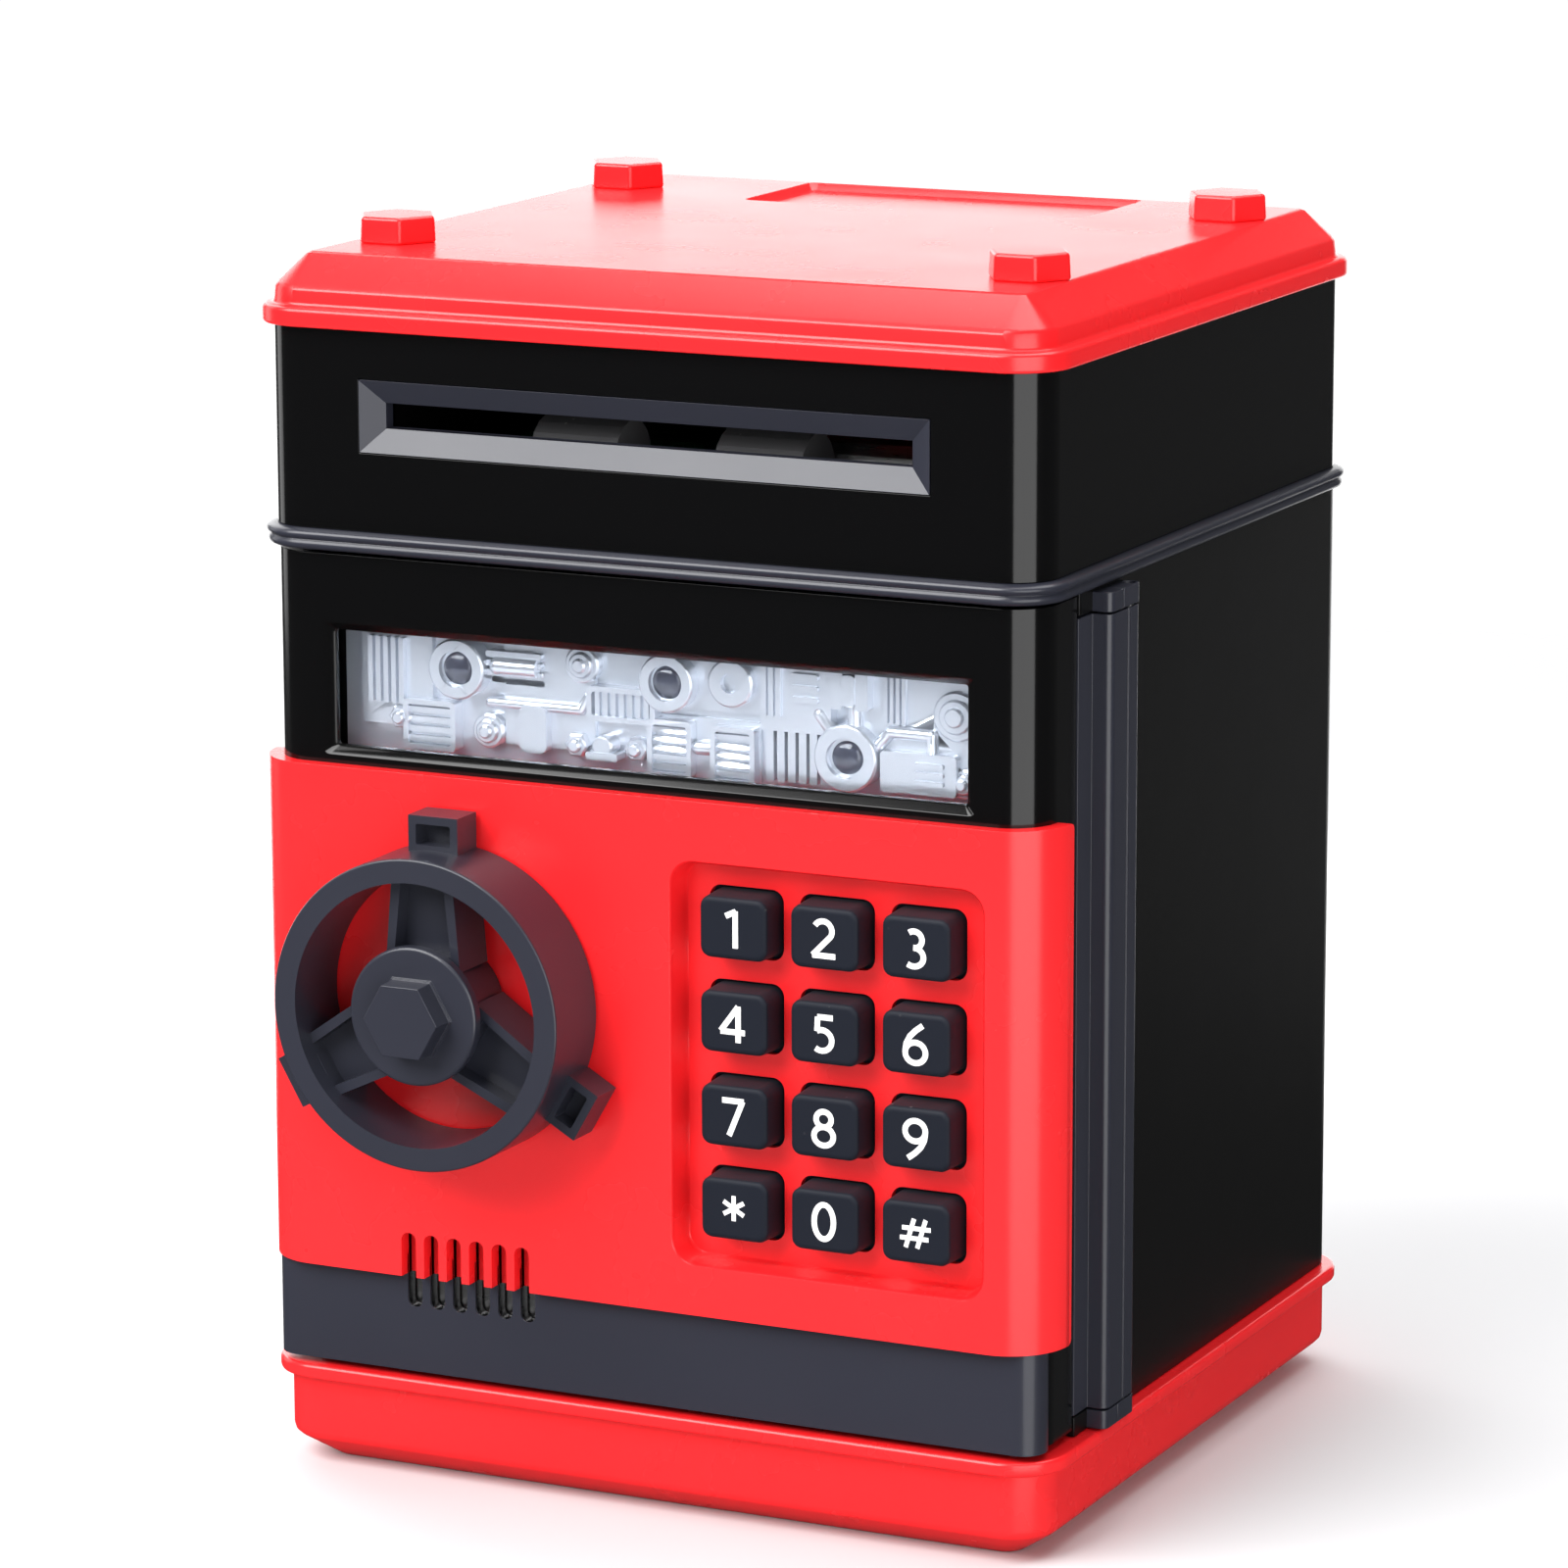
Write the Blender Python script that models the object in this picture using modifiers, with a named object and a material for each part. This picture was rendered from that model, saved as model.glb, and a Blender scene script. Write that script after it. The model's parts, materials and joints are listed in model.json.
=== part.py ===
"""Toy safe coin bank: a standalone Blender model, in metres, +Z up, the front facing -Y.

The body stands on its red base. Every position below is in the body's own frame, whose origin is
the middle of the body's footprint; the empty body_frame then centres the overall box on the origin.
"""
import math

import bmesh
import bpy
from mathutils import Matrix, Vector

MM = 0.001

# ---- driving dimensions: the stacked shells -------------------------------------------------------
BODY_W = 126.4 * MM
BODY_D = 121.0 * MM
CORNER_R = 7.0 * MM
WALL = 2.2 * MM
GAP = 0.3 * MM
MERGE_DISTANCE = 0.01 * MM
BASE_H = 16.3 * MM
VAULT_H = 126.1 * MM
BELT_H = 3.2 * MM
HOUSING_H = 30.1 * MM
LID_H = 10.3 * MM

# lid
LID_RIM_H = 2.9 * MM
LID_RIM_OUT = 1.73 * MM
LID_SIDE_H = 2.7 * MM
LID_SIDE_IN = 0.3 * MM
LID_BEVEL_X = 5.3 * MM
LID_BEVEL_Y = 6.2 * MM
LID_CORNER_R = 0.8 * MM
LID_LIP_H = 2.5 * MM
LID_LIP_T = 1.5 * MM
BOLT_R = 6.5 * MM
BOLT_HEAD_H = 4.0 * MM
BOLT_STUB_R = 2.4 * MM
BOLT_STUB_H = 3.6 * MM
BOLT_IN_X = 11.6 * MM
BOLT_IN_Y = 22.5 * MM

# coin slot and chute
COIN_SLOT_L = 39.0 * MM
COIN_SLOT_W = 3.3 * MM
COIN_SLOT_X = 2.4 * MM
COIN_SLOT_FROM_BACK = 25.8 * MM
COIN_DISH_DEPTH = 0.8 * MM
COIN_DISH_SIDE = 5.5 * MM
COIN_DISH_FRONT = 3.2 * MM
COIN_DISH_BACK = 19.6 * MM
DISH_FLOOR_IN = 3.0 * MM
DISH_FLOOR_R = 1.0 * MM
DISH_FLARE_X = 6.0 * MM
DISH_FLARE_Y = 2.0 * MM
DISH_FLARE_R = 3.0 * MM
CHUTE_WALL = 1.2 * MM
CHUTE_ROOM = 0.8 * MM

# banknote slot bezel
BEZEL_W = 92.2 * MM
BEZEL_H = 10.8 * MM
BEZEL_Z = 17.3 * MM
BEZEL_SLOPE = 3.8 * MM
BEZEL_DEPTH = 2.0 * MM
BEZEL_EDGE = 0.3 * MM
BEZEL_MITRE_R = 0.2 * MM
BEZEL_CUT_AHEAD = 0.2 * MM
BEZEL_LIP = 2.4 * MM
BEZEL_BACK_T = 1.5 * MM

# belt moulding and deck
BELT_OUT = 1.66 * MM
BELT_ROUND = 0.9 * MM
BELT_LEDGE = 4.2 * MM
DECK_T = 1.8 * MM
NOTE_DROP_W = 80.0 * MM
NOTE_DROP_D = 34.0 * MM
NOTE_DROP_FROM_FRONT = 32.5 * MM
NOTE_DROP_R = 2.0 * MM

# base
BASE_OUT_X = 0.3 * MM
BASE_IN_Y = 0.5 * MM
BASE_FLANGE_H = 2.23 * MM
BASE_FLANGE_OUT = 1.88 * MM
BASE_CHAMFER_IN = 6.3 * MM
BASE_CHAMFER_H = 4.2 * MM
BASE_FOOT_R = 2.0 * MM
BASE_ROOM_R = 2.0 * MM

# battery bay
CELL_R = 7.1 * MM
CELL_L = 50.0 * MM
CELL_COUNT = 3
CELL_GAP = 0.6 * MM
CELL_CRIMP = 0.5 * MM
CELL_CRIMP_SHARE = 0.85
CELL_NUB_L = 1.2 * MM
CELL_NUB_SHARE = 0.37
CONTACT_ROOM = 4.0 * MM
CONTACT_T = 0.5 * MM
CONTACT_FOOT = 2.0 * MM
DOME_H = 1.2 * MM
DOME_TIP_R = 1.6 * MM
DOME_FOOT_R = 2.6 * MM
COIL_FOOT_R = 4.2 * MM
COIL_TIP_R = 2.4 * MM
BAY_WALL = 1.5 * MM
BAY_Y = 8.0 * MM
COVER_T = 1.5 * MM
COVER_SUNK = 0.6 * MM
BATTERY_SCREW_R = 1.9 * MM
BATTERY_SCREW_IN = 2.6 * MM
BATTERY_SCREW_SUNK = 0.2 * MM

# door
DOOR_SET_BACK = 0.2 * MM
DOOR_DEPTH = 13.7 * MM
DOOR_WALL = 2.0 * MM
DOOR_FOOT_GAP = 1.0 * MM
DOOR_HEAD_GAP = 0.5 * MM
DOOR_SEAM = 0.4 * MM
SILL_OUT = 0.4 * MM
SILL_H = 15.0 * MM
SILL_WRAP = 7.4 * MM
DOOR_COVER_T = 1.5 * MM
COVER_SCREW_IN = 5.0 * MM
COVER_SCREW_R = 1.3 * MM
COVER_SCREW_L = 3.0 * MM
COVER_SCREW_HEAD_R = 2.4 * MM
COVER_SCREW_TOP_R = 1.8 * MM
COVER_SCREW_HEAD_H = 1.2 * MM
MOUTH_CUT = 5.0 * MM

# red door panel
PANEL_OUT = 2.2 * MM
PANEL_WRAP = 8.0 * MM
PANEL_FOOT = 15.3 * MM
PANEL_H = 77.6 * MM
PANEL_ROUND = 1.2 * MM
PANEL_ROUND_ANGLE = math.radians(60)

# window
WINDOW_W = 102.6 * MM
WINDOW_H = 17.1 * MM
WINDOW_ABOVE_PANEL = 2.8 * MM
WINDOW_FRAME = 1.5 * MM
WINDOW_FUNNEL = 1.5 * MM
WINDOW_FRAME_R = 1.0 * MM
WINDOW_R = 0.3 * MM
WINDOW_CUT_AHEAD = 0.2 * MM
LENS_T = 1.2 * MM
LENS_LIP = 2.0 * MM
RELIEF_ROOM = 4.0 * MM
RELIEF_PLATE_T = 1.5 * MM
RELIEF_RING_BACK = 0.6 * MM
RELIEF_BLOCK_BACK = 2.0 * MM
RELIEF_RING_R = 4.2 * MM
RELIEF_BLOCK_SHARE = 0.42
# rings as shares of a quarter of the width and of the height; blocks as a share and a half width
RELIEF_RINGS = ((-0.1, 0.22), (1.1, -0.18), (-1.4, 0.0))
RELIEF_BLOCKS = ((0.5, 3.5 * MM), (-0.75, 3.5 * MM), (1.65, 4.0 * MM))

# keypad
KEYPAD_W = 49.5 * MM
KEYPAD_H = 60.3 * MM
KEYPAD_FROM_RIGHT = 32.6 * MM
KEYPAD_ABOVE_FOOT = 38.2 * MM
KEYPAD_R = 3.4 * MM
KEYPAD_DEPTH = 4.2 * MM
POCKET_WALL = 1.5 * MM
POCKET_FRONT = 1.2 * MM
KEY_PITCH_X = 14.6 * MM
KEY_PITCH_Z = 14.1 * MM
KEY_W = 11.0 * MM
KEY_H = 9.4 * MM
KEY_R = 1.8 * MM
KEY_PROUD = 0.6 * MM
KEY_CLEAR = 0.5 * MM
KEY_FLANGE = 1.0 * MM
KEY_FLANGE_T = 1.0 * MM
KEY_TRAVEL = 1.2 * MM
MAT_T = 0.8 * MM
BOARD_T = 1.6 * MM
BOARD_MARGIN = 2.5 * MM

# speaker grille and speaker
GRILLE_FROM_LEFT = 34.0 * MM
GRILLE_COUNT = 6
GRILLE_PITCH = 3.84 * MM
GRILLE_SLOT_W = 2.5 * MM
GRILLE_LOW = 10.1 * MM
GRILLE_HIGH = 22.2 * MM
GRILLE_PANEL_START = 4.0 * MM
SLOT_END_SHARE = 0.45
SPEAKER_R = 13.5 * MM
SPEAKER_T = 7.5 * MM
SPEAKER_RIM_T = 1.2 * MM
SPEAKER_CONE_T = 4.5 * MM
SPEAKER_MAGNET_SHARE = 0.6

# handle wheel
WHEEL_FROM_LEFT = 33.1 * MM
WHEEL_ABOVE_FOOT = 44.3 * MM
WHEEL_R = 23.6 * MM
WHEEL_BAND = 3.6 * MM
WHEEL_DEPTH = 12.7 * MM
WHEEL_GAP = 0.5 * MM
HUB_R = 9.0 * MM
HUB_DEPTH = 11.0 * MM
CAP_R = 10.5 * MM
CAP_T = 1.8 * MM
CAP_HEX_R = 6.15 * MM
CAP_HEX_H = 3.8 * MM
SPOKE_W = 11.0 * MM
SPOKE_SIDE = 1.7 * MM
SPOKE_BACK = 1.5 * MM
SPOKE_DEPTH = 8.0 * MM
SPOKE_FLOOR = 3.0 * MM
SPOKE_ROOT_SHARE = 0.7
SPOKE_BURY = 0.6 * MM
LUG_REACH = 5.1 * MM
LUG_W = 8.4 * MM
LUG_DEPTH = 5.8 * MM
LUG_POCKET = 3.0 * MM
LUG_WALL = 1.3 * MM
LUG_BURY_SHARE = 0.6
LUG_BACK = 0.2 * MM
SPOKE_ANGLES = (0, 120, 240)
HEX_TURN = math.radians(30)
SHAFT_R = 3.0 * MM
SHAFT_CLEAR = 0.3 * MM

# latch
PINION_TEETH = 12
PINION_PITCH_R = 5.0 * MM
TOOTH_OUT = 0.75 * MM
TOOTH_IN = 1.1 * MM
TOOTH_BACKLASH = 0.45 * MM
TIP_SHARE = 0.12
ROOT_SHARE = 0.06
RACK_FLANK_FOOT = 0.25 * MM
RACK_FLANK_TIP = 0.2 * MM
RACK_END = 2.0 * MM
RACK_TEETH_AHEAD = 4
LATCH_T = 3.0 * MM
LATCH_SET_BACK = 1.7 * MM
BOLT_BAR_H = 5.8 * MM
BOLT_BAR_L = 40.0 * MM
BOLT_NOSE_ROOM = 7.0 * MM
GUIDE_T = 2.1 * MM
GUIDE_LIP = 4.2 * MM
GUIDE_START = 8.0 * MM
GUIDE_END = 2.0 * MM
STRIKE_REACH = 4.5 * MM
STRIKE_T = 1.0 * MM
STRIKE_H = 15.0 * MM
SOLENOID_L = 19.0 * MM
SOLENOID_H = 12.0 * MM
SOLENOID_T = 8.5 * MM

# hinge
HINGE_PROUD = 3.1 * MM
HINGE_LEAF_T = 2.8 * MM
HINGE_BAR_D = 10.8 * MM
HINGE_BAR_FRONT = 19.0 * MM
KNUCKLE_FOOT_H = 2.8 * MM
KNUCKLE_HEAD_H = 2.9 * MM
PIN_R = 0.8 * MM
PIN_BORE_R = 1.05 * MM
LEAF_T = 2.0 * MM
LEAF_OVERLAP = 1.5 * MM
LEAF_CORNER = 1.0 * MM

# banknote feed
FEED_FROM_FRONT = 14.0 * MM
ROLLER_R = 6.0 * MM
ROLLER_W = 14.0 * MM
ROLLER_X = 15.0 * MM
ROLLER_SHAFT_R = 1.5 * MM
PINCH_R = 5.1 * MM
PINCH_SHAFT_R = 1.2 * MM
FRAME_HALF_W = 44.0 * MM
FRAME_T = 1.6 * MM
FRAME_D = 24.0 * MM
FRAME_H = 27.0 * MM
FRAME_AHEAD = 4.0 * MM
FRAME_FOOT = 1.6 * MM
FRAME_FLOOR = 3.2 * MM
GEAR_TEETH = 24
GEAR_R = 8.0 * MM
MOTOR_TEETH = 9
GEAR_T = 3.0 * MM
GEAR_TOOTH_OUT = 0.55 * MM
GEAR_TOOTH_IN = 0.8 * MM
GEAR_BACKLASH = 0.35 * MM
MOTOR_R = 5.0 * MM
MOTOR_L = 25.0 * MM
MOTOR_SHAFT_R = 0.8 * MM
MAIN_BOARD_L = 32.0 * MM
MAIN_BOARD_W = 22.0 * MM
MAIN_BOARD_LIFT = 3.7 * MM
MAIN_BOARD_IN = 5.0 * MM
LEAD_R = 1.0 * MM
LEAD_HOLE_R = 1.8 * MM
LEAD_FROM_SIDE = 13.0 * MM
LEAD_FROM_BACK = 12.5 * MM
LEAD_LIFT = 5.0 * MM
LEAD_TAIL = 3.0 * MM
LEAD_TURN = 6.0 * MM
LEAD_CLEAR = 4.0 * MM
LEAD_SHARES = (0.3, 0.7)
ROUTE_STEPS = 24

# ---- places worked out from the driving dimensions ---------------------------------------------------
SIDE = BODY_W / 2
BACK = BODY_D / 2
FRONT = -BACK
Z_VAULT = BASE_H
Z_BELT = BASE_H + VAULT_H
Z_HOUSING = Z_BELT + BELT_H
Z_LID = Z_HOUSING + HOUSING_H
Z_TOP = Z_LID + LID_H

DOOR_SIDE = SIDE - DOOR_SET_BACK
DOOR_FRONT = FRONT + DOOR_SET_BACK
DOOR_REAR = DOOR_FRONT + DOOR_DEPTH
DOOR_Z0 = BASE_H + DOOR_FOOT_GAP
DOOR_Z1 = Z_BELT - DOOR_HEAD_GAP
BODY_MOUTH = DOOR_REAR + DOOR_SEAM

PANEL_FRONT = DOOR_FRONT - PANEL_OUT
PANEL_SIDE = DOOR_SIDE + PANEL_OUT
PANEL_REAR = DOOR_FRONT + PANEL_WRAP
PANEL_Z0 = DOOR_Z0 + PANEL_FOOT
PANEL_Z1 = PANEL_Z0 + PANEL_H

KEYPAD_X = SIDE - KEYPAD_FROM_RIGHT
KEYPAD_Z = PANEL_Z0 + KEYPAD_ABOVE_FOOT
KEY_FLOOR = PANEL_FRONT + KEYPAD_DEPTH
KEY_FRONT = PANEL_FRONT - KEY_PROUD
KEY_PLATE_REAR = KEY_FLOOR + POCKET_WALL
KEY_FLANGE_REAR = KEY_PLATE_REAR + GAP + KEY_FLANGE_T
MAT_FRONT = KEY_FLANGE_REAR + KEY_TRAVEL + GAP
BOARD_FRONT = MAT_FRONT + MAT_T + GAP

WINDOW_Z0 = PANEL_Z1 + WINDOW_ABOVE_PANEL
WINDOW_Z1 = WINDOW_Z0 + WINDOW_H
LENS_FRONT = DOOR_FRONT + DOOR_WALL + GAP
RELIEF_FRONT = LENS_FRONT + LENS_T + GAP

COVER_REAR = DOOR_REAR
COVER_FRONT = DOOR_REAR - DOOR_COVER_T
LATCH_FRONT = COVER_REAR + LATCH_SET_BACK
LATCH_REAR = LATCH_FRONT + LATCH_T

WHEEL_X = -SIDE + WHEEL_FROM_LEFT
WHEEL_Z = PANEL_Z0 + WHEEL_ABOVE_FOOT
WHEEL_REAR = PANEL_FRONT - WHEEL_GAP
WHEEL_FRONT = WHEEL_REAR - WHEEL_DEPTH
HUB_FRONT = WHEEL_REAR - HUB_DEPTH
CAP_REAR = HUB_FRONT - GAP
CAP_FRONT = CAP_REAR - CAP_T
HEX_FRONT = CAP_FRONT - CAP_HEX_H

HINGE_X = SIDE + GAP + HINGE_LEAF_T / 2
HINGE_BAR_Y0 = FRONT + HINGE_BAR_FRONT
HINGE_BAR_Y1 = HINGE_BAR_Y0 + HINGE_BAR_D
HINGE_Y = HINGE_BAR_Y1 - HINGE_LEAF_T / 2
LEAF_WEB_REAR = HINGE_BAR_Y0 + LEAF_OVERLAP
LEAF_Z0 = Z_VAULT + GAP + KNUCKLE_FOOT_H + GAP
LEAF_Z1 = Z_BELT - 2 * GAP - KNUCKLE_HEAD_H - GAP

SLOT_Z = Z_HOUSING + BEZEL_Z
FEED_Y = FRONT + FEED_FROM_FRONT
ROLLER_Z = SLOT_Z - ROLLER_R
PINCH_Z = SLOT_Z + GAP + PINCH_R
MOTOR_PITCH_R = GEAR_R * MOTOR_TEETH / GEAR_TEETH
MOTOR_Y = FEED_Y + GEAR_R + MOTOR_PITCH_R
DECK_Z0 = Z_BELT + (BELT_H - DECK_T) / 2
DECK_Z1 = DECK_Z0 + DECK_T
GEAR_X = FRAME_HALF_W + FRAME_T + 1.0 * MM

COIN_Y = BACK - COIN_SLOT_FROM_BACK
BAY_HALF_X = (CELL_COUNT * 2 * CELL_R + (CELL_COUNT + 1) * CELL_GAP) / 2
BAY_HALF_Y = CELL_L / 2 + CONTACT_ROOM
BAY_Z0 = COVER_SUNK + COVER_T + GAP
CELL_Z = BAY_Z0 + GAP + CELL_R
BAY_TOP = CELL_Z + CELL_R + GAP + BAY_WALL
LEAD_X = SIDE - LEAD_FROM_SIDE
LEAD_Y = BACK - LEAD_FROM_BACK

RIGHT_END = max(SIDE + HINGE_PROUD, SIDE + BASE_OUT_X + BASE_FLANGE_OUT)
LEFT_END = -(SIDE + BASE_OUT_X + BASE_FLANGE_OUT)
REAR_END = BACK + LID_RIM_OUT
FRONT_END = HEX_FRONT

PARTS_NAME = "toy_safe_coin_bank"
COLOURS = {
    "red_plastic": ((0.75, 0.004, 0.008), 0.28, 0.0),
    "black_plastic": ((0.006, 0.006, 0.007), 0.22, 0.0),
    "slate_plastic": ((0.045, 0.05, 0.06), 0.4, 0.0),
    "key_rubber": ((0.012, 0.014, 0.02), 0.6, 0.0),
    "clear_plastic": ((0.85, 0.9, 0.98), 0.05, 0.0),
    "silver_plastic": ((0.75, 0.77, 0.82), 0.35, 0.3),
    "steel": ((0.6, 0.6, 0.6), 0.3, 1.0),
    "board_green": ((0.02, 0.12, 0.04), 0.5, 0.0),
    "cell_jacket": ((0.05, 0.05, 0.06), 0.35, 0.2),
    "white_plastic": ((0.7, 0.7, 0.68), 0.45, 0.0),
    "roller_rubber": ((0.05, 0.05, 0.055), 0.8, 0.0),
    "lead_jacket": ((0.3, 0.01, 0.01), 0.5, 0.0),
}


# ---- scene helpers ---------------------------------------------------------------------------------
def clear_scene():
    for old in list(bpy.data.objects):
        bpy.data.objects.remove(old, do_unlink=True)


def collection(name, hidden=False):
    made = bpy.data.collections.new(name)
    bpy.context.scene.collection.children.link(made)
    made.hide_render = hidden
    return made


def materials():
    made = {}
    for name, (colour, roughness, metallic) in COLOURS.items():
        material = bpy.data.materials.new(name)
        material.use_nodes = True
        shader = material.node_tree.nodes["Principled BSDF"]
        shader.inputs["Base Color"].default_value = (*colour, 1.0)
        shader.inputs["Roughness"].default_value = roughness
        shader.inputs["Metallic"].default_value = metallic
        made[name] = material
    return made


clear_scene()
PARTS = collection(PARTS_NAME)
CUTTERS = collection("cutters", hidden=True)
MATERIALS = materials()


def empty(name, place, parent=None):
    """An empty on a joint's axis. Its own place is kept in body_place, in the body's frame."""
    made = bpy.data.objects.new(name, None)
    PARTS.objects.link(made)
    made.parent = parent
    held = Vector(parent["body_place"]) if parent else Vector((0.0, 0.0, 0.0))
    made.location = Vector(place) - held
    made["body_place"] = tuple(place) if parent else (0.0, 0.0, 0.0)
    return made


FRAME = empty("body_frame", (-(RIGHT_END + LEFT_END) / 2, -(REAR_END + FRONT_END) / 2, 0.0))


def link(name, data, group, parent):
    obj = bpy.data.objects.new(name, data)
    group.objects.link(obj)
    obj.parent = parent
    obj.location = -Vector(parent["body_place"])
    return obj


def part(name, shape, material, joint=None):
    """A node of the assembly, from a bmesh in the body's frame, hung from its joint's empty."""
    data = bpy.data.meshes.new(name)
    shape.to_mesh(data)
    shape.free()
    data.materials.append(MATERIALS[material])
    data.shade_smooth()
    data.set_sharp_from_angle(angle=math.radians(30))
    return link(name, data, PARTS, joint or FRAME)


def boolean(target, operation, shapes):
    """One Boolean per shape. A list inside shapes becomes one cutter of separate bodies."""
    for number, shape in enumerate(shapes):
        name = f"{target.name}_{operation.lower()}_{len(target.modifiers)}_{number}"
        data = bpy.data.meshes.new(name)
        shape.to_mesh(data)
        shape.free()
        cutter = link(name, data, CUTTERS, FRAME)
        cutter.hide_render = True
        cutter.display_type = "WIRE"
        modifier = target.modifiers.new(name, "BOOLEAN")
        modifier.operation = operation
        modifier.solver = "EXACT"
        modifier.object = cutter
    return target


def cut(target, *shapes):
    return boolean(target, "DIFFERENCE", shapes)


def join(target, *shapes):
    return boolean(target, "UNION", shapes)


# ---- shapes ------------------------------------------------------------------------------------------
AXES = {"X": 0, "Y": 1, "Z": 2}


def box(low, high, radius=0.0, axis="Z", where=None, segments=4):
    """A cube between two corners; the edges along axis that where accepts are rounded."""
    shape = bmesh.new()
    bmesh.ops.create_cube(shape, size=1.0)
    low, high = Vector(low), Vector(high)
    bmesh.ops.scale(shape, vec=high - low, verts=shape.verts)
    bmesh.ops.translate(shape, vec=(low + high) / 2, verts=shape.verts)
    if radius > 0.0:
        along = AXES[axis]
        edges = []
        for edge in shape.edges:
            run = (edge.verts[0].co - edge.verts[1].co).normalized()
            middle = (edge.verts[0].co + edge.verts[1].co) / 2
            if abs(run[along]) > 0.99 and (where is None or where(middle)):
                edges.append(edge)
        bmesh.ops.bevel(shape, geom=edges, offset=radius, segments=segments, profile=0.5,
                        affect="EDGES", clamp_overlap=True)
    return shape


def around(x, y, half_x, half_y, z0, z1, radius=0.0, segments=4):
    return box((x - half_x, y - half_y, z0), (x + half_x, y + half_y, z1), radius, "Z", None, segments)


def facing(x, z, half_x, half_z, y0, y1, radius=0.0, segments=3):
    """A plate or hole seen from the front."""
    return box((x - half_x, y0, z - half_z), (x + half_x, y1, z + half_z), radius, "Y", None, segments)


TURN = {"X": Matrix.Rotation(math.radians(90), 4, "Y"),
        "Y": Matrix.Rotation(math.radians(-90), 4, "X"),
        "Z": Matrix.Identity(4)}


def cylinder(axis, centre, radius, low, high, sides=24, end_radius=None):
    """A cylinder or cone along an axis from low to high; centre's own value on that axis is unused."""
    shape = bmesh.new()
    middle = Vector(centre)
    middle[AXES[axis]] = (low + high) / 2
    end = radius if end_radius is None else end_radius
    bmesh.ops.create_cone(shape, cap_ends=True, segments=sides, radius1=radius, radius2=end,
                          depth=high - low, matrix=Matrix.Translation(middle) @ TURN[axis])
    return shape


def merged(shapes):
    """Separate bodies in one bmesh, for a cutter that repeats."""
    whole = bmesh.new()
    for shape in shapes:
        data = bpy.data.meshes.new("merged")
        shape.to_mesh(data)
        shape.free()
        whole.from_mesh(data)
        bpy.data.meshes.remove(data)
    return whole


def rounded_ring(half_x, half_y, radius, steps):
    """The corner points of a rounded rectangle, anticlockwise, with steps + 1 points a corner."""
    points = []
    for corner, (sx, sy) in enumerate(((1, 1), (-1, 1), (-1, -1), (1, -1))):
        for step in range(steps + 1):
            angle = math.radians(90) * (corner + step / steps)
            points.append((sx * (half_x - radius) + radius * math.cos(angle),
                           sy * (half_y - radius) + radius * math.sin(angle)))
    return points


def loft(sections, steps=4, centre=(0.0, 0.0), axis="Z"):
    """A closed loft through rounded rectangles: (level, half width, half depth, corner radius)."""
    shape = bmesh.new()
    rings = []
    for level, half_x, half_y, radius in sections:
        ring = []
        for u, v in rounded_ring(half_x, half_y, radius, steps):
            point = (u + centre[0], v + centre[1], level)
            if axis == "Y":
                point = (point[0], level, point[1])
            ring.append(shape.verts.new(point))
        rings.append(ring)
    shape.faces.new(rings[0])
    shape.faces.new(rings[-1])
    for lower, upper in zip(rings, rings[1:]):
        for index in range(len(lower)):
            after = (index + 1) % len(lower)
            shape.faces.new((lower[index], lower[after], upper[after], upper[index]))
    bmesh.ops.recalc_face_normals(shape, faces=shape.faces)
    return shape


def outline_part(name, outlines, thickness, place, axis, material, joint=None):
    """A flat plate from closed outlines, the first outside and the rest holes, extruded along axis."""
    data = bpy.data.curves.new(name, "CURVE")
    data.dimensions = "2D"
    data.fill_mode = "BOTH"
    data.extrude = thickness / 2
    for outline in outlines:
        spline = data.splines.new("POLY")
        spline.points.add(len(outline) - 1)
        for point, (u, v) in zip(spline.points, outline):
            point.co = (u, v, 0.0, 1.0)
        spline.use_cyclic_u = True
    data.materials.append(MATERIALS[material])
    obj = link(name, data, PARTS, joint or FRAME)
    obj.location = Vector(place) - Vector((joint or FRAME)["body_place"])
    if axis == "Y":
        obj.rotation_euler = (math.radians(90), 0.0, 0.0)
    elif axis == "X":
        obj.rotation_euler = (math.radians(90), 0.0, math.radians(90))
    return obj


def circle(radius, sides=20, centre=(0.0, 0.0)):
    return [(centre[0] + radius * math.cos(math.tau * i / sides),
             centre[1] + radius * math.sin(math.tau * i / sides)) for i in range(sides)]


def gear_outline(teeth, pitch_r, tooth_out, tooth_in, backlash, first_angle):
    """A straight-flanked gear: root, flank, tip, flank for each tooth. first_angle centres one tooth."""
    points = []
    step = math.tau / teeth
    half_tip = step * TIP_SHARE
    half_pitch = step / 4 - backlash / pitch_r / 2
    half_root = half_pitch + step * ROOT_SHARE
    for tooth in range(teeth):
        middle = first_angle + tooth * step
        for angle, radius in ((-half_root, pitch_r - tooth_in), (-half_tip, pitch_r + tooth_out),
                              (half_tip, pitch_r + tooth_out), (half_root, pitch_r - tooth_in)):
            points.append((radius * math.cos(middle + angle), radius * math.sin(middle + angle)))
    return points


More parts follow.
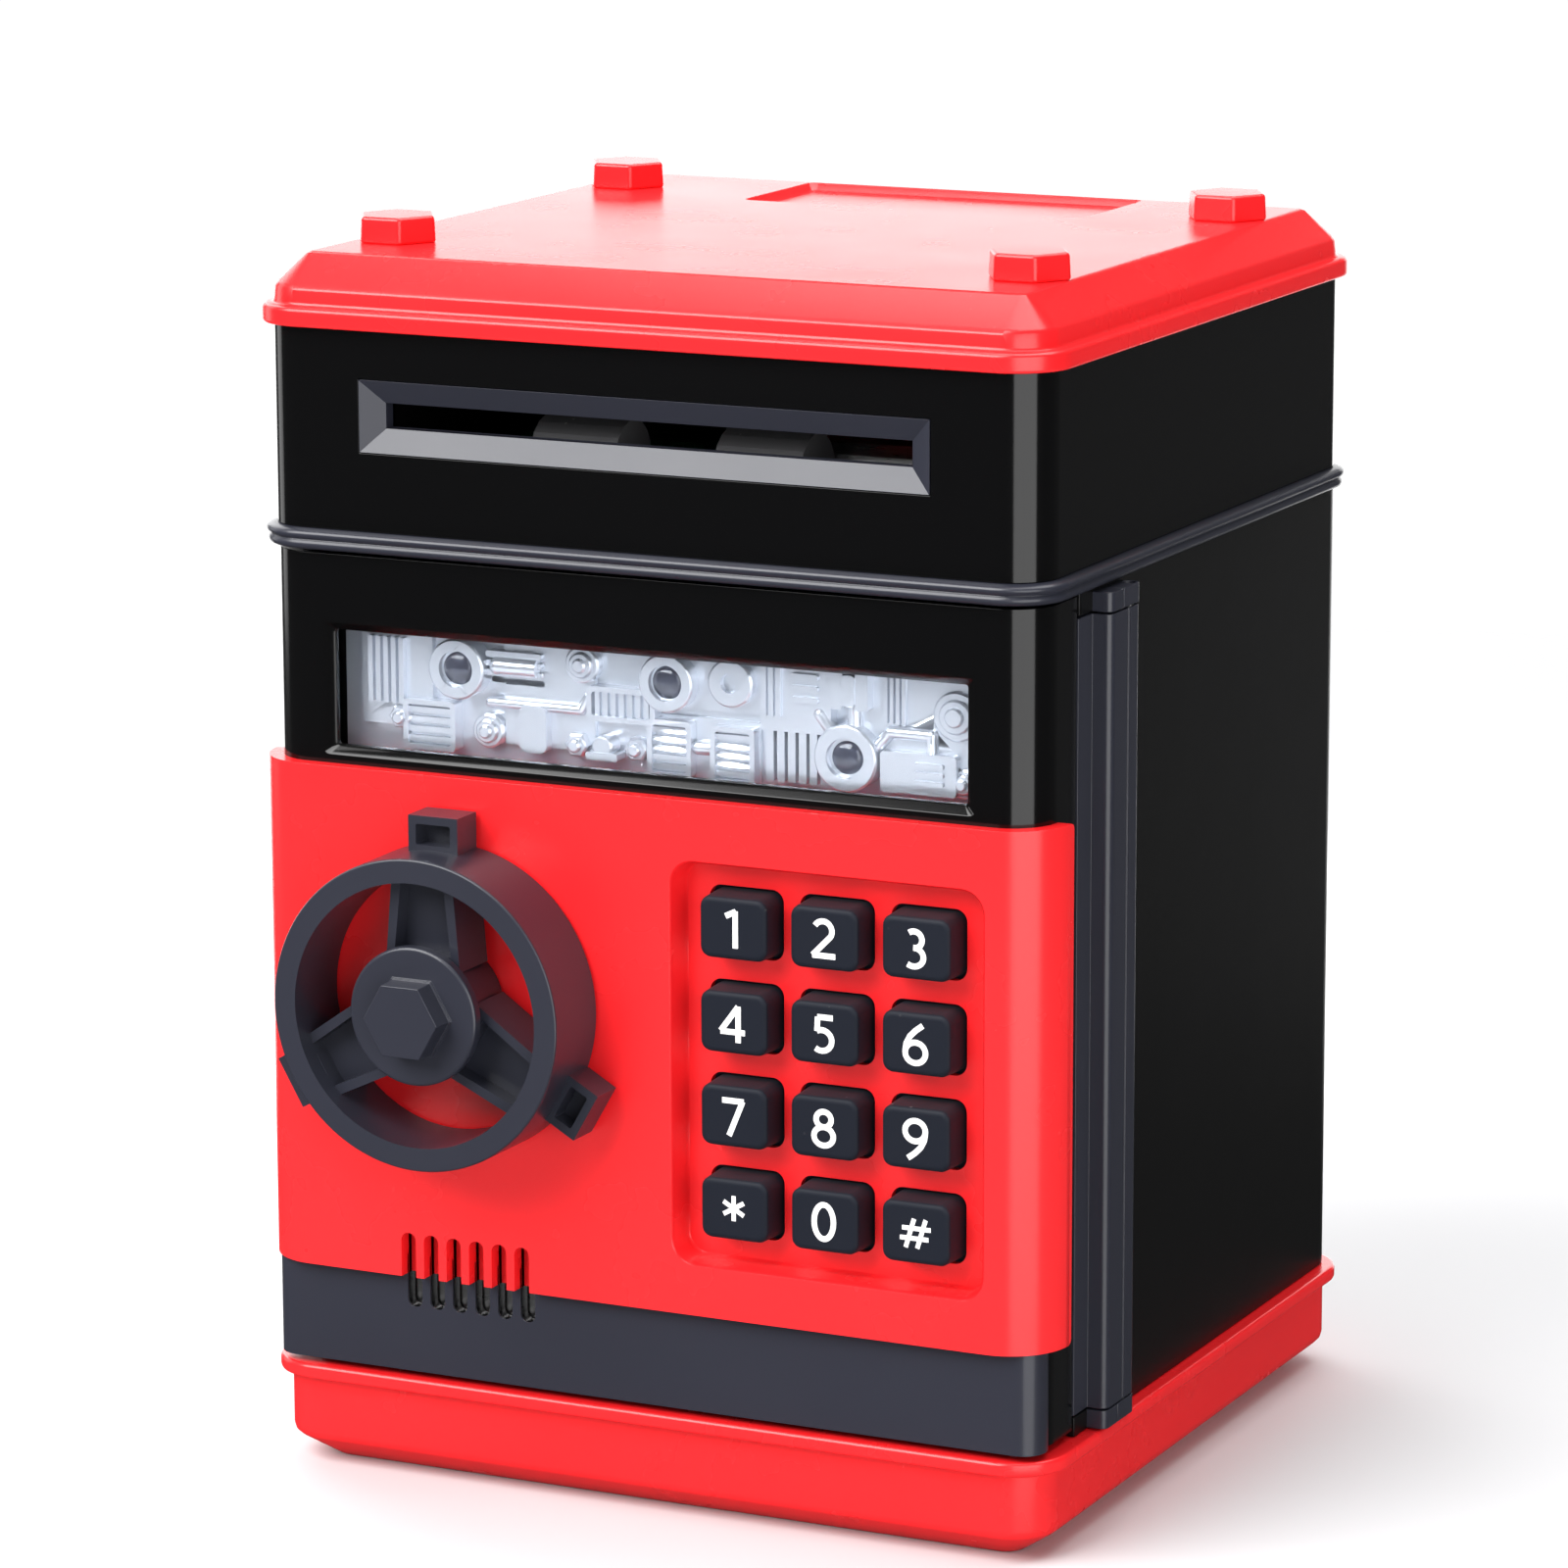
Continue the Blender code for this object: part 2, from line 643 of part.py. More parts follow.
def turned_part(name, profile, centre, axis, sides, material, joint=None):
    """A turned piece: (position on the axis, radius) pairs, closed to the axis, with a Screw modifier."""
    points = [(profile[0][0], 0.0), *profile, (profile[-1][0], 0.0)]
    if points[0][0] < points[-1][0]:
        points.reverse()
    shape = bmesh.new()
    rim = []
    for position, radius in points:
        place = {"X": (position, radius, 0.0), "Y": (0.0, position, radius), "Z": (radius, 0.0, position)}
        rim.append(shape.verts.new(place[axis]))
    for start, end in zip(rim, rim[1:]):
        shape.edges.new((start, end))
    data = bpy.data.meshes.new(name)
    shape.to_mesh(data)
    shape.free()
    data.materials.append(MATERIALS[material])
    obj = link(name, data, PARTS, joint or FRAME)
    middle = Vector(centre)
    middle[AXES[axis]] = 0.0
    obj.location = middle - Vector((joint or FRAME)["body_place"])
    screw = obj.modifiers.new("turned", "SCREW")
    screw.axis = axis
    screw.steps = sides
    screw.render_steps = sides
    screw.use_merge_vertices = True
    screw.merge_threshold = MERGE_DISTANCE
    return obj


# ---- lid, bolts, coin chute ---------------------------------------------------------------------------
def bolt_places():
    for depth, sy in (("front", -1), ("rear", 1)):
        for side, sx in (("left", -1), ("right", 1)):
            yield f"{depth}_{side}", sx * (SIDE - BOLT_IN_X), sy * (BACK - BOLT_IN_Y)


def top_lid():
    rim_top = Z_LID + LID_RIM_H
    side_top = rim_top + LID_SIDE_H
    lid = part("top_lid", loft([
        (Z_LID, SIDE + LID_RIM_OUT, BACK + LID_RIM_OUT, CORNER_R + LID_RIM_OUT),
        (rim_top, SIDE + LID_RIM_OUT, BACK + LID_RIM_OUT, CORNER_R + LID_RIM_OUT),
        (rim_top, SIDE - LID_SIDE_IN, BACK - LID_SIDE_IN, CORNER_R - LID_SIDE_IN),
        (side_top, SIDE - LID_SIDE_IN, BACK - LID_SIDE_IN, CORNER_R - LID_SIDE_IN),
        (Z_TOP, SIDE - LID_BEVEL_X, BACK - LID_BEVEL_Y, LID_CORNER_R)]), "red_plastic")
    inside = WALL + GAP
    lip_r = CORNER_R - inside
    join(lid, around(0, 0, SIDE - inside, BACK - inside, Z_LID - LID_LIP_H, rim_top - MM, lip_r))
    hollow = inside + LID_LIP_T
    cut(lid, loft([
        (Z_LID - LID_LIP_H - MM, SIDE - hollow, BACK - hollow, lip_r - LID_LIP_T),
        (side_top - WALL, SIDE - hollow, BACK - hollow, lip_r - LID_LIP_T),
        (Z_TOP - WALL, SIDE - LID_BEVEL_X - WALL, BACK - LID_BEVEL_Y - WALL, LID_CORNER_R)]))
    dish_z = Z_TOP - COIN_DISH_DEPTH
    half = COIN_SLOT_L / 2 + COIN_DISH_SIDE
    dish_y = COIN_Y + (COIN_DISH_BACK - COIN_DISH_FRONT) / 2
    dish_half_y = (COIN_DISH_BACK + COIN_DISH_FRONT) / 2
    cut(lid, loft([
        (dish_z, half, dish_half_y - DISH_FLOOR_IN, DISH_FLOOR_R),
        (Z_TOP + MM, half + DISH_FLARE_X, dish_half_y + DISH_FLARE_Y, DISH_FLARE_R)],
        centre=(COIN_SLOT_X, dish_y - DISH_FLARE_Y)))
    cut(lid, around(COIN_SLOT_X, COIN_Y, COIN_SLOT_L / 2, COIN_SLOT_W / 2,
                    Z_TOP - 2 * WALL, Z_TOP + MM, COIN_SLOT_W * SLOT_END_SHARE, 2))
    holes = [cylinder("Z", (x, y, 0), BOLT_STUB_R + GAP, Z_TOP - 2 * WALL, Z_TOP + MM, 12)
             for _, x, y in bolt_places()]
    cut(lid, merged(holes))


def lid_bolts():
    for label, x, y in bolt_places():
        head = cylinder("Z", (x, y, 0), BOLT_R, Z_TOP + GAP, Z_TOP + BOLT_HEAD_H, 6)
        bmesh.ops.rotate(head, cent=(x, y, 0), matrix=Matrix.Rotation(HEX_TURN, 3, "Z"),
                         verts=head.verts)
        bolt = part(f"lid_bolt_{label}", head, "red_plastic")
        join(bolt, cylinder("Z", (x, y, 0), BOLT_STUB_R, Z_TOP + GAP - BOLT_STUB_H, Z_TOP + MM, 12))


def chute_half():
    return COIN_SLOT_L / 2 + CHUTE_ROOM + CHUTE_WALL, COIN_SLOT_W / 2 + CHUTE_ROOM + CHUTE_WALL


def coin_chute():
    half_x, half_y = chute_half()
    chute = part("coin_chute", around(COIN_SLOT_X, COIN_Y, half_x, half_y, Z_BELT - MM,
                                      Z_TOP - WALL - GAP), "white_plastic")
    cut(chute, around(COIN_SLOT_X, COIN_Y, half_x - CHUTE_WALL, half_y - CHUTE_WALL,
                      Z_BELT - 2 * MM, Z_TOP))


# ---- upper housing, bezel, belt, deck --------------------------------------------------------------------
def upper_housing():
    housing = part("upper_housing", around(0, 0, SIDE, BACK, Z_HOUSING + GAP, Z_LID - GAP, CORNER_R),
                   "black_plastic")
    cut(housing, around(0, 0, SIDE - WALL, BACK - WALL, Z_HOUSING - MM, Z_LID + MM, CORNER_R - WALL),
        facing(0, SLOT_Z, BEZEL_W / 2 + GAP, BEZEL_H / 2 + GAP, FRONT - MM, FRONT + WALL + MM))


def note_bezel():
    bezel = part("note_bezel", facing(0, SLOT_Z, BEZEL_W / 2, BEZEL_H / 2, FRONT,
                                      FRONT + WALL + GAP + MM / 2), "slate_plastic")
    rear = FRONT + WALL + GAP + BEZEL_BACK_T
    join(bezel, facing(0, SLOT_Z, BEZEL_W / 2 + BEZEL_LIP, BEZEL_H / 2 + BEZEL_LIP,
                       FRONT + WALL + GAP, rear))
    slot_x = BEZEL_W / 2 - BEZEL_SLOPE
    slot_z = BEZEL_H / 2 - BEZEL_SLOPE
    cut(bezel, loft([(FRONT - BEZEL_CUT_AHEAD, BEZEL_W / 2 - BEZEL_EDGE, BEZEL_H / 2 - BEZEL_EDGE,
                      BEZEL_MITRE_R),
                     (FRONT + BEZEL_DEPTH, slot_x, slot_z, BEZEL_MITRE_R)], 1, (0.0, SLOT_Z), "Y"),
        facing(0, SLOT_Z, slot_x, slot_z, FRONT, rear + MM))


def belt_moulding():
    def ring(level, out):
        return (level, SIDE + out, BACK + out, CORNER_R + out)
    belt = part("belt_moulding", loft([
        ring(Z_BELT, BELT_OUT - BELT_ROUND), ring(Z_BELT + BELT_ROUND, BELT_OUT),
        ring(Z_HOUSING - BELT_ROUND, BELT_OUT), ring(Z_HOUSING, BELT_OUT - BELT_ROUND)]),
        "black_plastic")
    cut(belt, around(0, 0, SIDE - BELT_LEDGE, BACK - BELT_LEDGE, Z_BELT - MM, Z_HOUSING + MM,
                     CORNER_R - BELT_LEDGE))


def divider_deck():
    inset = BELT_LEDGE + GAP
    deck = part("divider_deck", around(0, 0, SIDE - inset, BACK - inset, DECK_Z0, DECK_Z1,
                                       CORNER_R - inset), "black_plastic")
    half_x, half_y = chute_half()
    drop_y = FRONT + NOTE_DROP_FROM_FRONT + NOTE_DROP_D / 2
    cut(deck, merged([
        around(0, drop_y, NOTE_DROP_W / 2, NOTE_DROP_D / 2, Z_BELT, Z_HOUSING, NOTE_DROP_R),
        around(COIN_SLOT_X, COIN_Y, half_x + GAP, half_y + GAP, Z_BELT, Z_HOUSING),
        cylinder("Z", (LEAD_X, LEAD_Y, 0), LEAD_HOLE_R, Z_BELT, Z_HOUSING, 12)]))


# ---- lower body, base, battery bay ---------------------------------------------------------------------------
def lower_body():
    z0, z1 = Z_VAULT + GAP, Z_BELT - GAP
    body = part("lower_body", box((-SIDE, BODY_MOUTH, z0), (SIDE, BACK, z1), CORNER_R, "Z",
                                  lambda middle: middle.y > 0), "black_plastic")
    cut(body, box((-SIDE + WALL, BODY_MOUTH - MOUTH_CUT, z0 - MM), (SIDE - WALL, BACK - WALL, z1 + MM),
                  CORNER_R - WALL, "Z", lambda middle: middle.y > 0))
    cut(body, box((SIDE - 2 * WALL, BODY_MOUTH - MM, LEAF_Z0 - GAP),
                  (SIDE + MM, LEAF_WEB_REAR + GAP, LEAF_Z1 + GAP)))
    strike_y = LATCH_FRONT - GAP - STRIKE_T
    strike_z = WHEEL_Z + PINION_PITCH_R + TOOTH_IN + BOLT_BAR_H / 2
    knuckle = (SIDE - MM, HINGE_BAR_Y0)
    top = (SIDE + HINGE_PROUD, HINGE_BAR_Y1)
    join(body, box((*knuckle, z0), (*top, z0 + KNUCKLE_FOOT_H)))
    join(body, box((*knuckle, z1 - GAP - KNUCKLE_HEAD_H), (*top, z1 - GAP)))
    join(body, box((-SIDE + WALL / 2, strike_y, strike_z - STRIKE_H / 2),
                   (-SIDE + WALL + STRIKE_REACH, strike_y + STRIKE_T, strike_z + STRIKE_H / 2)))
    cut(body, cylinder("Z", (HINGE_X, HINGE_Y, 0), PIN_BORE_R, z0 - MM, z1 + MM, 12))


def base():
    half_x, half_y = SIDE + BASE_OUT_X, BACK - BASE_IN_Y
    out = BASE_FLANGE_OUT
    flange_z = BASE_H - BASE_FLANGE_H
    tub = part("base", loft([
        (0.0, half_x - BASE_CHAMFER_IN, half_y - BASE_CHAMFER_IN, BASE_FOOT_R),
        (BASE_CHAMFER_H, half_x, half_y, CORNER_R),
        (flange_z, half_x, half_y, CORNER_R),
        (flange_z, half_x + out, half_y + out, CORNER_R + out),
        (BASE_H, half_x + out, half_y + out, CORNER_R + out)]), "red_plastic")
    inside = BASE_CHAMFER_IN + WALL
    cut(tub, around(0, 0, half_x - inside, half_y - inside, WALL + COVER_T, BASE_H - WALL, BASE_ROOM_R))
    wall = BAY_WALL + GAP
    cut(tub, around(0, BAY_Y, BAY_HALF_X, BAY_HALF_Y, -MM, WALL + COVER_T + MM),
        around(0, BAY_Y, BAY_HALF_X + wall, BAY_HALF_Y + wall, BASE_H - WALL - MM, BASE_H + MM),
        cylinder("Z", (LEAD_X, LEAD_Y, 0), LEAD_HOLE_R, BASE_H - WALL - MM, BASE_H + MM, 12))


def battery_bay():
    z0 = WALL + COVER_T + GAP
    bay = part("battery_box", around(0, BAY_Y, BAY_HALF_X + BAY_WALL, BAY_HALF_Y + BAY_WALL, z0,
                                     BAY_TOP, MM, 2), "black_plastic")
    cut(bay, around(0, BAY_Y, BAY_HALF_X, BAY_HALF_Y, z0 - MM, BAY_TOP - BAY_WALL))
    cover_z = (COVER_SUNK, COVER_SUNK + COVER_T)
    cover = part("battery_cover", around(0, BAY_Y, BAY_HALF_X - GAP, BAY_HALF_Y - GAP, *cover_z),
                 "red_plastic")
    screw_y = BAY_Y - BAY_HALF_Y + BATTERY_SCREW_IN
    cut(cover, cylinder("Z", (0, screw_y, 0), BATTERY_SCREW_R + GAP, -MM, z0, 12))
    part("battery_screw", cylinder("Z", (0, screw_y, 0), BATTERY_SCREW_R, COVER_SUNK + BATTERY_SCREW_SUNK,
                                   COVER_SUNK + COVER_T, 12), "steel")
    pitch = 2 * CELL_R + CELL_GAP
    for number in range(CELL_COUNT):
        x = (number - (CELL_COUNT - 1) / 2) * pitch
        facing_back = 1 if number % 2 == 0 else -1
        nub = CELL_L / 2 - CELL_NUB_L
        profile = [(-CELL_L / 2, CELL_R * CELL_CRIMP_SHARE), (-CELL_L / 2 + CELL_CRIMP, CELL_R),
                   (nub, CELL_R), (nub, CELL_R * CELL_NUB_SHARE), (CELL_L / 2, CELL_R * CELL_NUB_SHARE)]
        profile = [(BAY_Y + facing_back * position, radius) for position, radius in profile]
        turned_part(f"cell_{number + 1}", profile, (x, 0, CELL_Z), "Y", 16, "cell_jacket")


def contacts():
    """The bay's two end plates: one flat with domes, one with a conical coil for each cell."""
    half_x = BAY_HALF_X - GAP
    z0, z1 = BAY_Z0 + CONTACT_FOOT, BAY_TOP - BAY_WALL - 2 * GAP
    rear = BAY_Y + BAY_HALF_Y - GAP
    front = BAY_Y - BAY_HALF_Y + GAP
    flat = part("flat_contacts", box((-half_x, rear - CONTACT_T, z0), (half_x, rear, z1)), "steel")
    pitch = 2 * CELL_R + CELL_GAP
    for number in range(CELL_COUNT):
        x = (number - (CELL_COUNT - 1) / 2) * pitch
        join(flat, cylinder("Y", (x, 0, CELL_Z), DOME_TIP_R, rear - CONTACT_T - DOME_H,
                            rear - CONTACT_T / 2, 10, DOME_FOOT_R))
    sprung = part("spring_contacts", box((-half_x, front, z0), (half_x, front + CONTACT_T, z1)),
                  "steel")
    reach = CONTACT_ROOM - GAP - CONTACT_T - GAP
    for number in range(CELL_COUNT):
        x = (number - (CELL_COUNT - 1) / 2) * pitch
        join(sprung, cylinder("Y", (x, 0, CELL_Z), COIL_FOOT_R, front + CONTACT_T / 2,
                              front + CONTACT_T + reach, 12, COIL_TIP_R))


# ---- door -------------------------------------------------------------------------------------------------
DOOR = empty("door_axis", (HINGE_X, HINGE_Y, 0.0), FRAME)
WHEEL = empty("wheel_axis", (WHEEL_X, WHEEL_FRONT, WHEEL_Z), DOOR)
BOLT = empty("bolt_axis", (WHEEL_X, LATCH_FRONT, WHEEL_Z), DOOR)


def front_corners(middle):
    return middle.y < (DOOR_FRONT + DOOR_REAR) / 2


def grille_slots(y0, y1, z0, z1):
    slots = []
    first = -SIDE + GRILLE_FROM_LEFT - GRILLE_PITCH * (GRILLE_COUNT - 1) / 2
    for number in range(GRILLE_COUNT):
        slots.append(facing(first + number * GRILLE_PITCH, (z0 + z1) / 2, GRILLE_SLOT_W / 2,
                            (z1 - z0) / 2, y0, y1, GRILLE_SLOT_W * SLOT_END_SHARE, 2))
    return merged(slots)


def door_shell():
    shell = part("door_shell", box((-DOOR_SIDE, DOOR_FRONT, DOOR_Z0), (DOOR_SIDE, DOOR_REAR, DOOR_Z1),
                                   CORNER_R, "Z", front_corners), "black_plastic", DOOR)
    sill_side = DOOR_SIDE + SILL_OUT
    sill_front = DOOR_FRONT - SILL_OUT
    join(shell, box((-sill_side, sill_front, DOOR_Z0), (sill_side, DOOR_FRONT + SILL_WRAP,
                    DOOR_Z0 + SILL_H), CORNER_R + SILL_OUT, "Z",
                    lambda middle: middle.y < DOOR_FRONT))
    cut(shell, box((-DOOR_SIDE + DOOR_WALL, DOOR_FRONT + DOOR_WALL, DOOR_Z0 + DOOR_WALL),
                   (DOOR_SIDE - DOOR_WALL, DOOR_REAR + MM, DOOR_Z1 - DOOR_WALL),
                   CORNER_R - DOOR_WALL, "Z", front_corners))
    pocket = POCKET_WALL + GAP
    through = (DOOR_FRONT - 2 * MM, DOOR_FRONT + DOOR_WALL + MM)
    window_z = (WINDOW_Z0 + WINDOW_Z1) / 2
    frame = WINDOW_FRAME
    cut(shell, facing(KEYPAD_X, KEYPAD_Z, KEYPAD_W / 2 + pocket, KEYPAD_H / 2 + pocket, *through,
                      KEYPAD_R + pocket),
        facing(0, window_z, WINDOW_W / 2, WINDOW_H / 2, *through),
        loft([(DOOR_FRONT - WINDOW_CUT_AHEAD, WINDOW_W / 2 + frame, WINDOW_H / 2 + frame, WINDOW_FRAME_R),
              (DOOR_FRONT + WINDOW_FUNNEL, WINDOW_W / 2, WINDOW_H / 2, WINDOW_R)],
             2, (0.0, window_z), "Y"),
        cylinder("Y", (WHEEL_X, 0, WHEEL_Z), SHAFT_R + SHAFT_CLEAR, *through, 20),
        grille_slots(*through, DOOR_Z0 + GRILLE_LOW, DOOR_Z0 + GRILLE_HIGH))


def key_grid():
    rows = (("1", "2", "3"), ("4", "5", "6"), ("7", "8", "9"), ("star", "0", "hash"))
    for row, labels in enumerate(rows):
        for column, label in enumerate(labels):
            yield label, KEYPAD_X + (column - 1) * KEY_PITCH_X, KEYPAD_Z + (1.5 - row) * KEY_PITCH_Z


def door_panel():
    panel = part("door_panel", box((-PANEL_SIDE, PANEL_FRONT, PANEL_Z0), (PANEL_SIDE, PANEL_REAR, PANEL_Z1),
                                   CORNER_R + PANEL_OUT, "Z", front_corners), "red_plastic", DOOR)
    edge = panel.modifiers.new("rounded rim", "BEVEL")
    edge.width = PANEL_ROUND
    edge.segments = 1
    edge.limit_method = "ANGLE"
    edge.angle_limit = PANEL_ROUND_ANGLE
    inner = DOOR_SIDE + GAP
    cut(panel, box((-inner, DOOR_FRONT - GAP, PANEL_Z0 - MM), (inner, PANEL_REAR + MM, PANEL_Z1 + MM),
                   CORNER_R + GAP, "Z", front_corners))
    join(panel, facing(KEYPAD_X, KEYPAD_Z, KEYPAD_W / 2 + POCKET_WALL, KEYPAD_H / 2 + POCKET_WALL,
                       PANEL_FRONT + POCKET_FRONT, KEY_PLATE_REAR, KEYPAD_R + POCKET_WALL))
    cut(panel, facing(KEYPAD_X, KEYPAD_Z, KEYPAD_W / 2, KEYPAD_H / 2, PANEL_FRONT - MM, KEY_FLOOR,
                      KEYPAD_R))
    holes = [facing(x, z, KEY_W / 2 + KEY_CLEAR, KEY_H / 2 + KEY_CLEAR, KEY_FLOOR - MM,
                    KEY_PLATE_REAR + MM, KEY_R, 2) for _, x, z in key_grid()]
    cut(panel, merged(holes),
        cylinder("Y", (WHEEL_X, 0, WHEEL_Z), SHAFT_R + SHAFT_CLEAR, PANEL_FRONT - MM, DOOR_FRONT + MM, 20),
        grille_slots(PANEL_FRONT - MM, DOOR_FRONT + MM, PANEL_Z0 - GRILLE_PANEL_START, DOOR_Z0 + GRILLE_HIGH))


def keys():
    """Twelve rubber keys that share one mesh, each with its origin at the middle of its stem."""
    key = facing(0, 0, KEY_W / 2, KEY_H / 2, KEY_FRONT, KEY_FLANGE_REAR - KEY_FLANGE_T / 2, KEY_R, 2)
    stem = bpy.data.meshes.new("key_stem")
    key.to_mesh(stem)
    key.free()
    flange = facing(0, 0, KEY_W / 2 + KEY_FLANGE, KEY_H / 2 + KEY_FLANGE, KEY_PLATE_REAR + GAP,
                    KEY_FLANGE_REAR, KEY_R, 2)
    model = link("key_model", stem, CUTTERS, FRAME)
    model.hide_render = True
    model.display_type = "WIRE"
    join(model, flange)
    bpy.context.view_layer.update()
    whole = bpy.data.meshes.new_from_object(model.evaluated_get(bpy.context.evaluated_depsgraph_get()))
    whole.name = "key"
    whole.materials.clear()
    whole.materials.append(MATERIALS["key_rubber"])
    for label, x, z in key_grid():
        key = link(f"key_{label}", whole, PARTS, DOOR)
        key.location = Vector((x, 0.0, z)) - Vector(DOOR["body_place"])


def keypad_electronics():
    mat_x, mat_z = KEYPAD_W / 2, KEYPAD_H / 2
    part("keypad_mat", facing(KEYPAD_X, KEYPAD_Z, mat_x, mat_z, MAT_FRONT, MAT_FRONT + MAT_T),
         "key_rubber", DOOR)
    part("keypad_board", facing(KEYPAD_X, KEYPAD_Z, mat_x + BOARD_MARGIN, mat_z + BOARD_MARGIN,
                                BOARD_FRONT, BOARD_FRONT + BOARD_T), "board_green", DOOR)


def window():
    z = (WINDOW_Z0 + WINDOW_Z1) / 2
    half_x, half_z = WINDOW_W / 2 + LENS_LIP, WINDOW_H / 2 + LENS_LIP
    part("window_lens", facing(0, z, half_x, half_z, LENS_FRONT, LENS_FRONT + LENS_T),
         "clear_plastic", DOOR)
    floor = RELIEF_FRONT + RELIEF_ROOM
    plate = part("relief_plate", facing(0, z, half_x, half_z, floor, floor + RELIEF_PLATE_T),
                 "silver_plastic", DOOR)
    quarter = WINDOW_W / 4
    sink = floor + RELIEF_PLATE_T / 2
    rings = [cylinder("Y", (quarter * along, 0, z + WINDOW_H * up), RELIEF_RING_R,
                      RELIEF_FRONT + RELIEF_RING_BACK, sink, 16) for along, up in RELIEF_RINGS]
    blocks = [facing(quarter * along, z, half, WINDOW_H * RELIEF_BLOCK_SHARE,
                     RELIEF_FRONT + RELIEF_BLOCK_BACK, sink) for along, half in RELIEF_BLOCKS]
    join(plate, merged(rings + blocks))


def door_inside():
    x, z = -SIDE + GRILLE_FROM_LEFT, DOOR_Z0 + (GRILLE_LOW + GRILLE_HIGH) / 2
    y0 = DOOR_FRONT + DOOR_WALL + GAP
    magnet = SPEAKER_R * SPEAKER_MAGNET_SHARE
    cone = [(y0, SPEAKER_R), (y0 + SPEAKER_RIM_T, SPEAKER_R), (y0 + SPEAKER_CONE_T, magnet),
            (y0 + SPEAKER_T, magnet)]
    turned_part("speaker", cone, (x, 0, z), "Y", 24, "steel", DOOR)
    solenoid_z = WHEEL_Z + SHAFT_R + SOLENOID_H
    part("lock_solenoid", facing(WHEEL_X - SOLENOID_L / 2, solenoid_z, SOLENOID_L / 2, SOLENOID_H / 2,
                                 y0, y0 + SOLENOID_T), "steel", DOOR)
    left = -DOOR_SIDE + DOOR_WALL + GAP
    right = DOOR_SIDE - DOOR_WALL - GAP - LEAF_T - GAP
    low, high = DOOR_Z0 + DOOR_WALL + GAP, DOOR_Z1 - DOOR_WALL - GAP
    cover = part("door_back_cover", box((left, COVER_FRONT, low), (right, COVER_REAR, high)),
                 "black_plastic", DOOR)
    screws = [(0.0, low + COVER_SCREW_IN), (0.0, high - COVER_SCREW_IN)]
    cut(cover, merged([cylinder("Y", (WHEEL_X, 0, WHEEL_Z), SHAFT_R + SHAFT_CLEAR,
                                COVER_FRONT - MM, COVER_REAR + MM, 20)]
                      + [cylinder("Y", (sx, 0, sz), COVER_SCREW_R + GAP, COVER_FRONT - MM,
                                  COVER_REAR + MM, 10) for sx, sz in screws]))
    for label, (sx, sz) in zip(("bottom", "top"), screws):
        screw = [(COVER_FRONT - COVER_SCREW_L, COVER_SCREW_R), (COVER_REAR + GAP, COVER_SCREW_R),
                 (COVER_REAR + GAP, COVER_SCREW_HEAD_R),
                 (COVER_REAR + GAP + COVER_SCREW_HEAD_H, COVER_SCREW_TOP_R)]
        turned_part(f"cover_screw_{label}", screw, (sx, 0, sz), "Y", 10, "steel", DOOR)


def arc(centre, radius, start, end, steps):
    return [(centre[0] + radius * math.cos(math.radians(start + (end - start) * i / steps)),
             centre[1] + radius * math.sin(math.radians(start + (end - start) * i / steps)))
            for i in range(steps + 1)]


def hinge():
    """The leaf: a flange inside the door, a web across the seam, and the bar that turns on the pin."""
    flange_x1 = DOOR_SIDE - DOOR_WALL - GAP
    flange_x0 = flange_x1 - LEAF_T
    web_x1, web_y0 = SIDE, DOOR_REAR + GAP
    flange_y0 = DOOR_FRONT + CORNER_R + GAP
    bar_x1, bar_x0 = HINGE_X + HINGE_LEAF_T / 2, HINGE_X - HINGE_LEAF_T / 2
    outline = [(flange_x0, flange_y0), (flange_x1, flange_y0),
               (flange_x1, web_y0), (web_x1, web_y0), (web_x1, HINGE_BAR_Y0)]
    outline += arc((bar_x1 - LEAF_CORNER, HINGE_BAR_Y0 + LEAF_CORNER), LEAF_CORNER, -90, 0, 3)
    outline += arc((HINGE_X, HINGE_Y), HINGE_LEAF_T / 2, 0, 180, 8)
    outline += [(bar_x0, LEAF_WEB_REAR), (SIDE - LEAF_T, LEAF_WEB_REAR),
                (SIDE - LEAF_T, web_y0 + LEAF_T), (flange_x0, web_y0 + LEAF_T)]
    hole = circle(PIN_BORE_R, 12, (HINGE_X, HINGE_Y))
    middle = (LEAF_Z0 + LEAF_Z1) / 2
    outline_part("hinge_leaf", [outline, hole], LEAF_Z1 - LEAF_Z0, (0.0, 0.0, middle), "Z",
                 "slate_plastic", DOOR)
    part("hinge_pin", cylinder("Z", (HINGE_X, HINGE_Y, 0), PIN_R, Z_VAULT + 2 * GAP, Z_BELT - 3 * GAP, 10),
         "steel")


# ---- handle wheel and latch ------------------------------------------------------------------------------------
def turned_about_wheel(shape, angle):
    bmesh.ops.rotate(shape, cent=(WHEEL_X, 0, WHEEL_Z), matrix=Matrix.Rotation(math.radians(angle), 3, "Y"),
                     verts=shape.verts)
    return shape


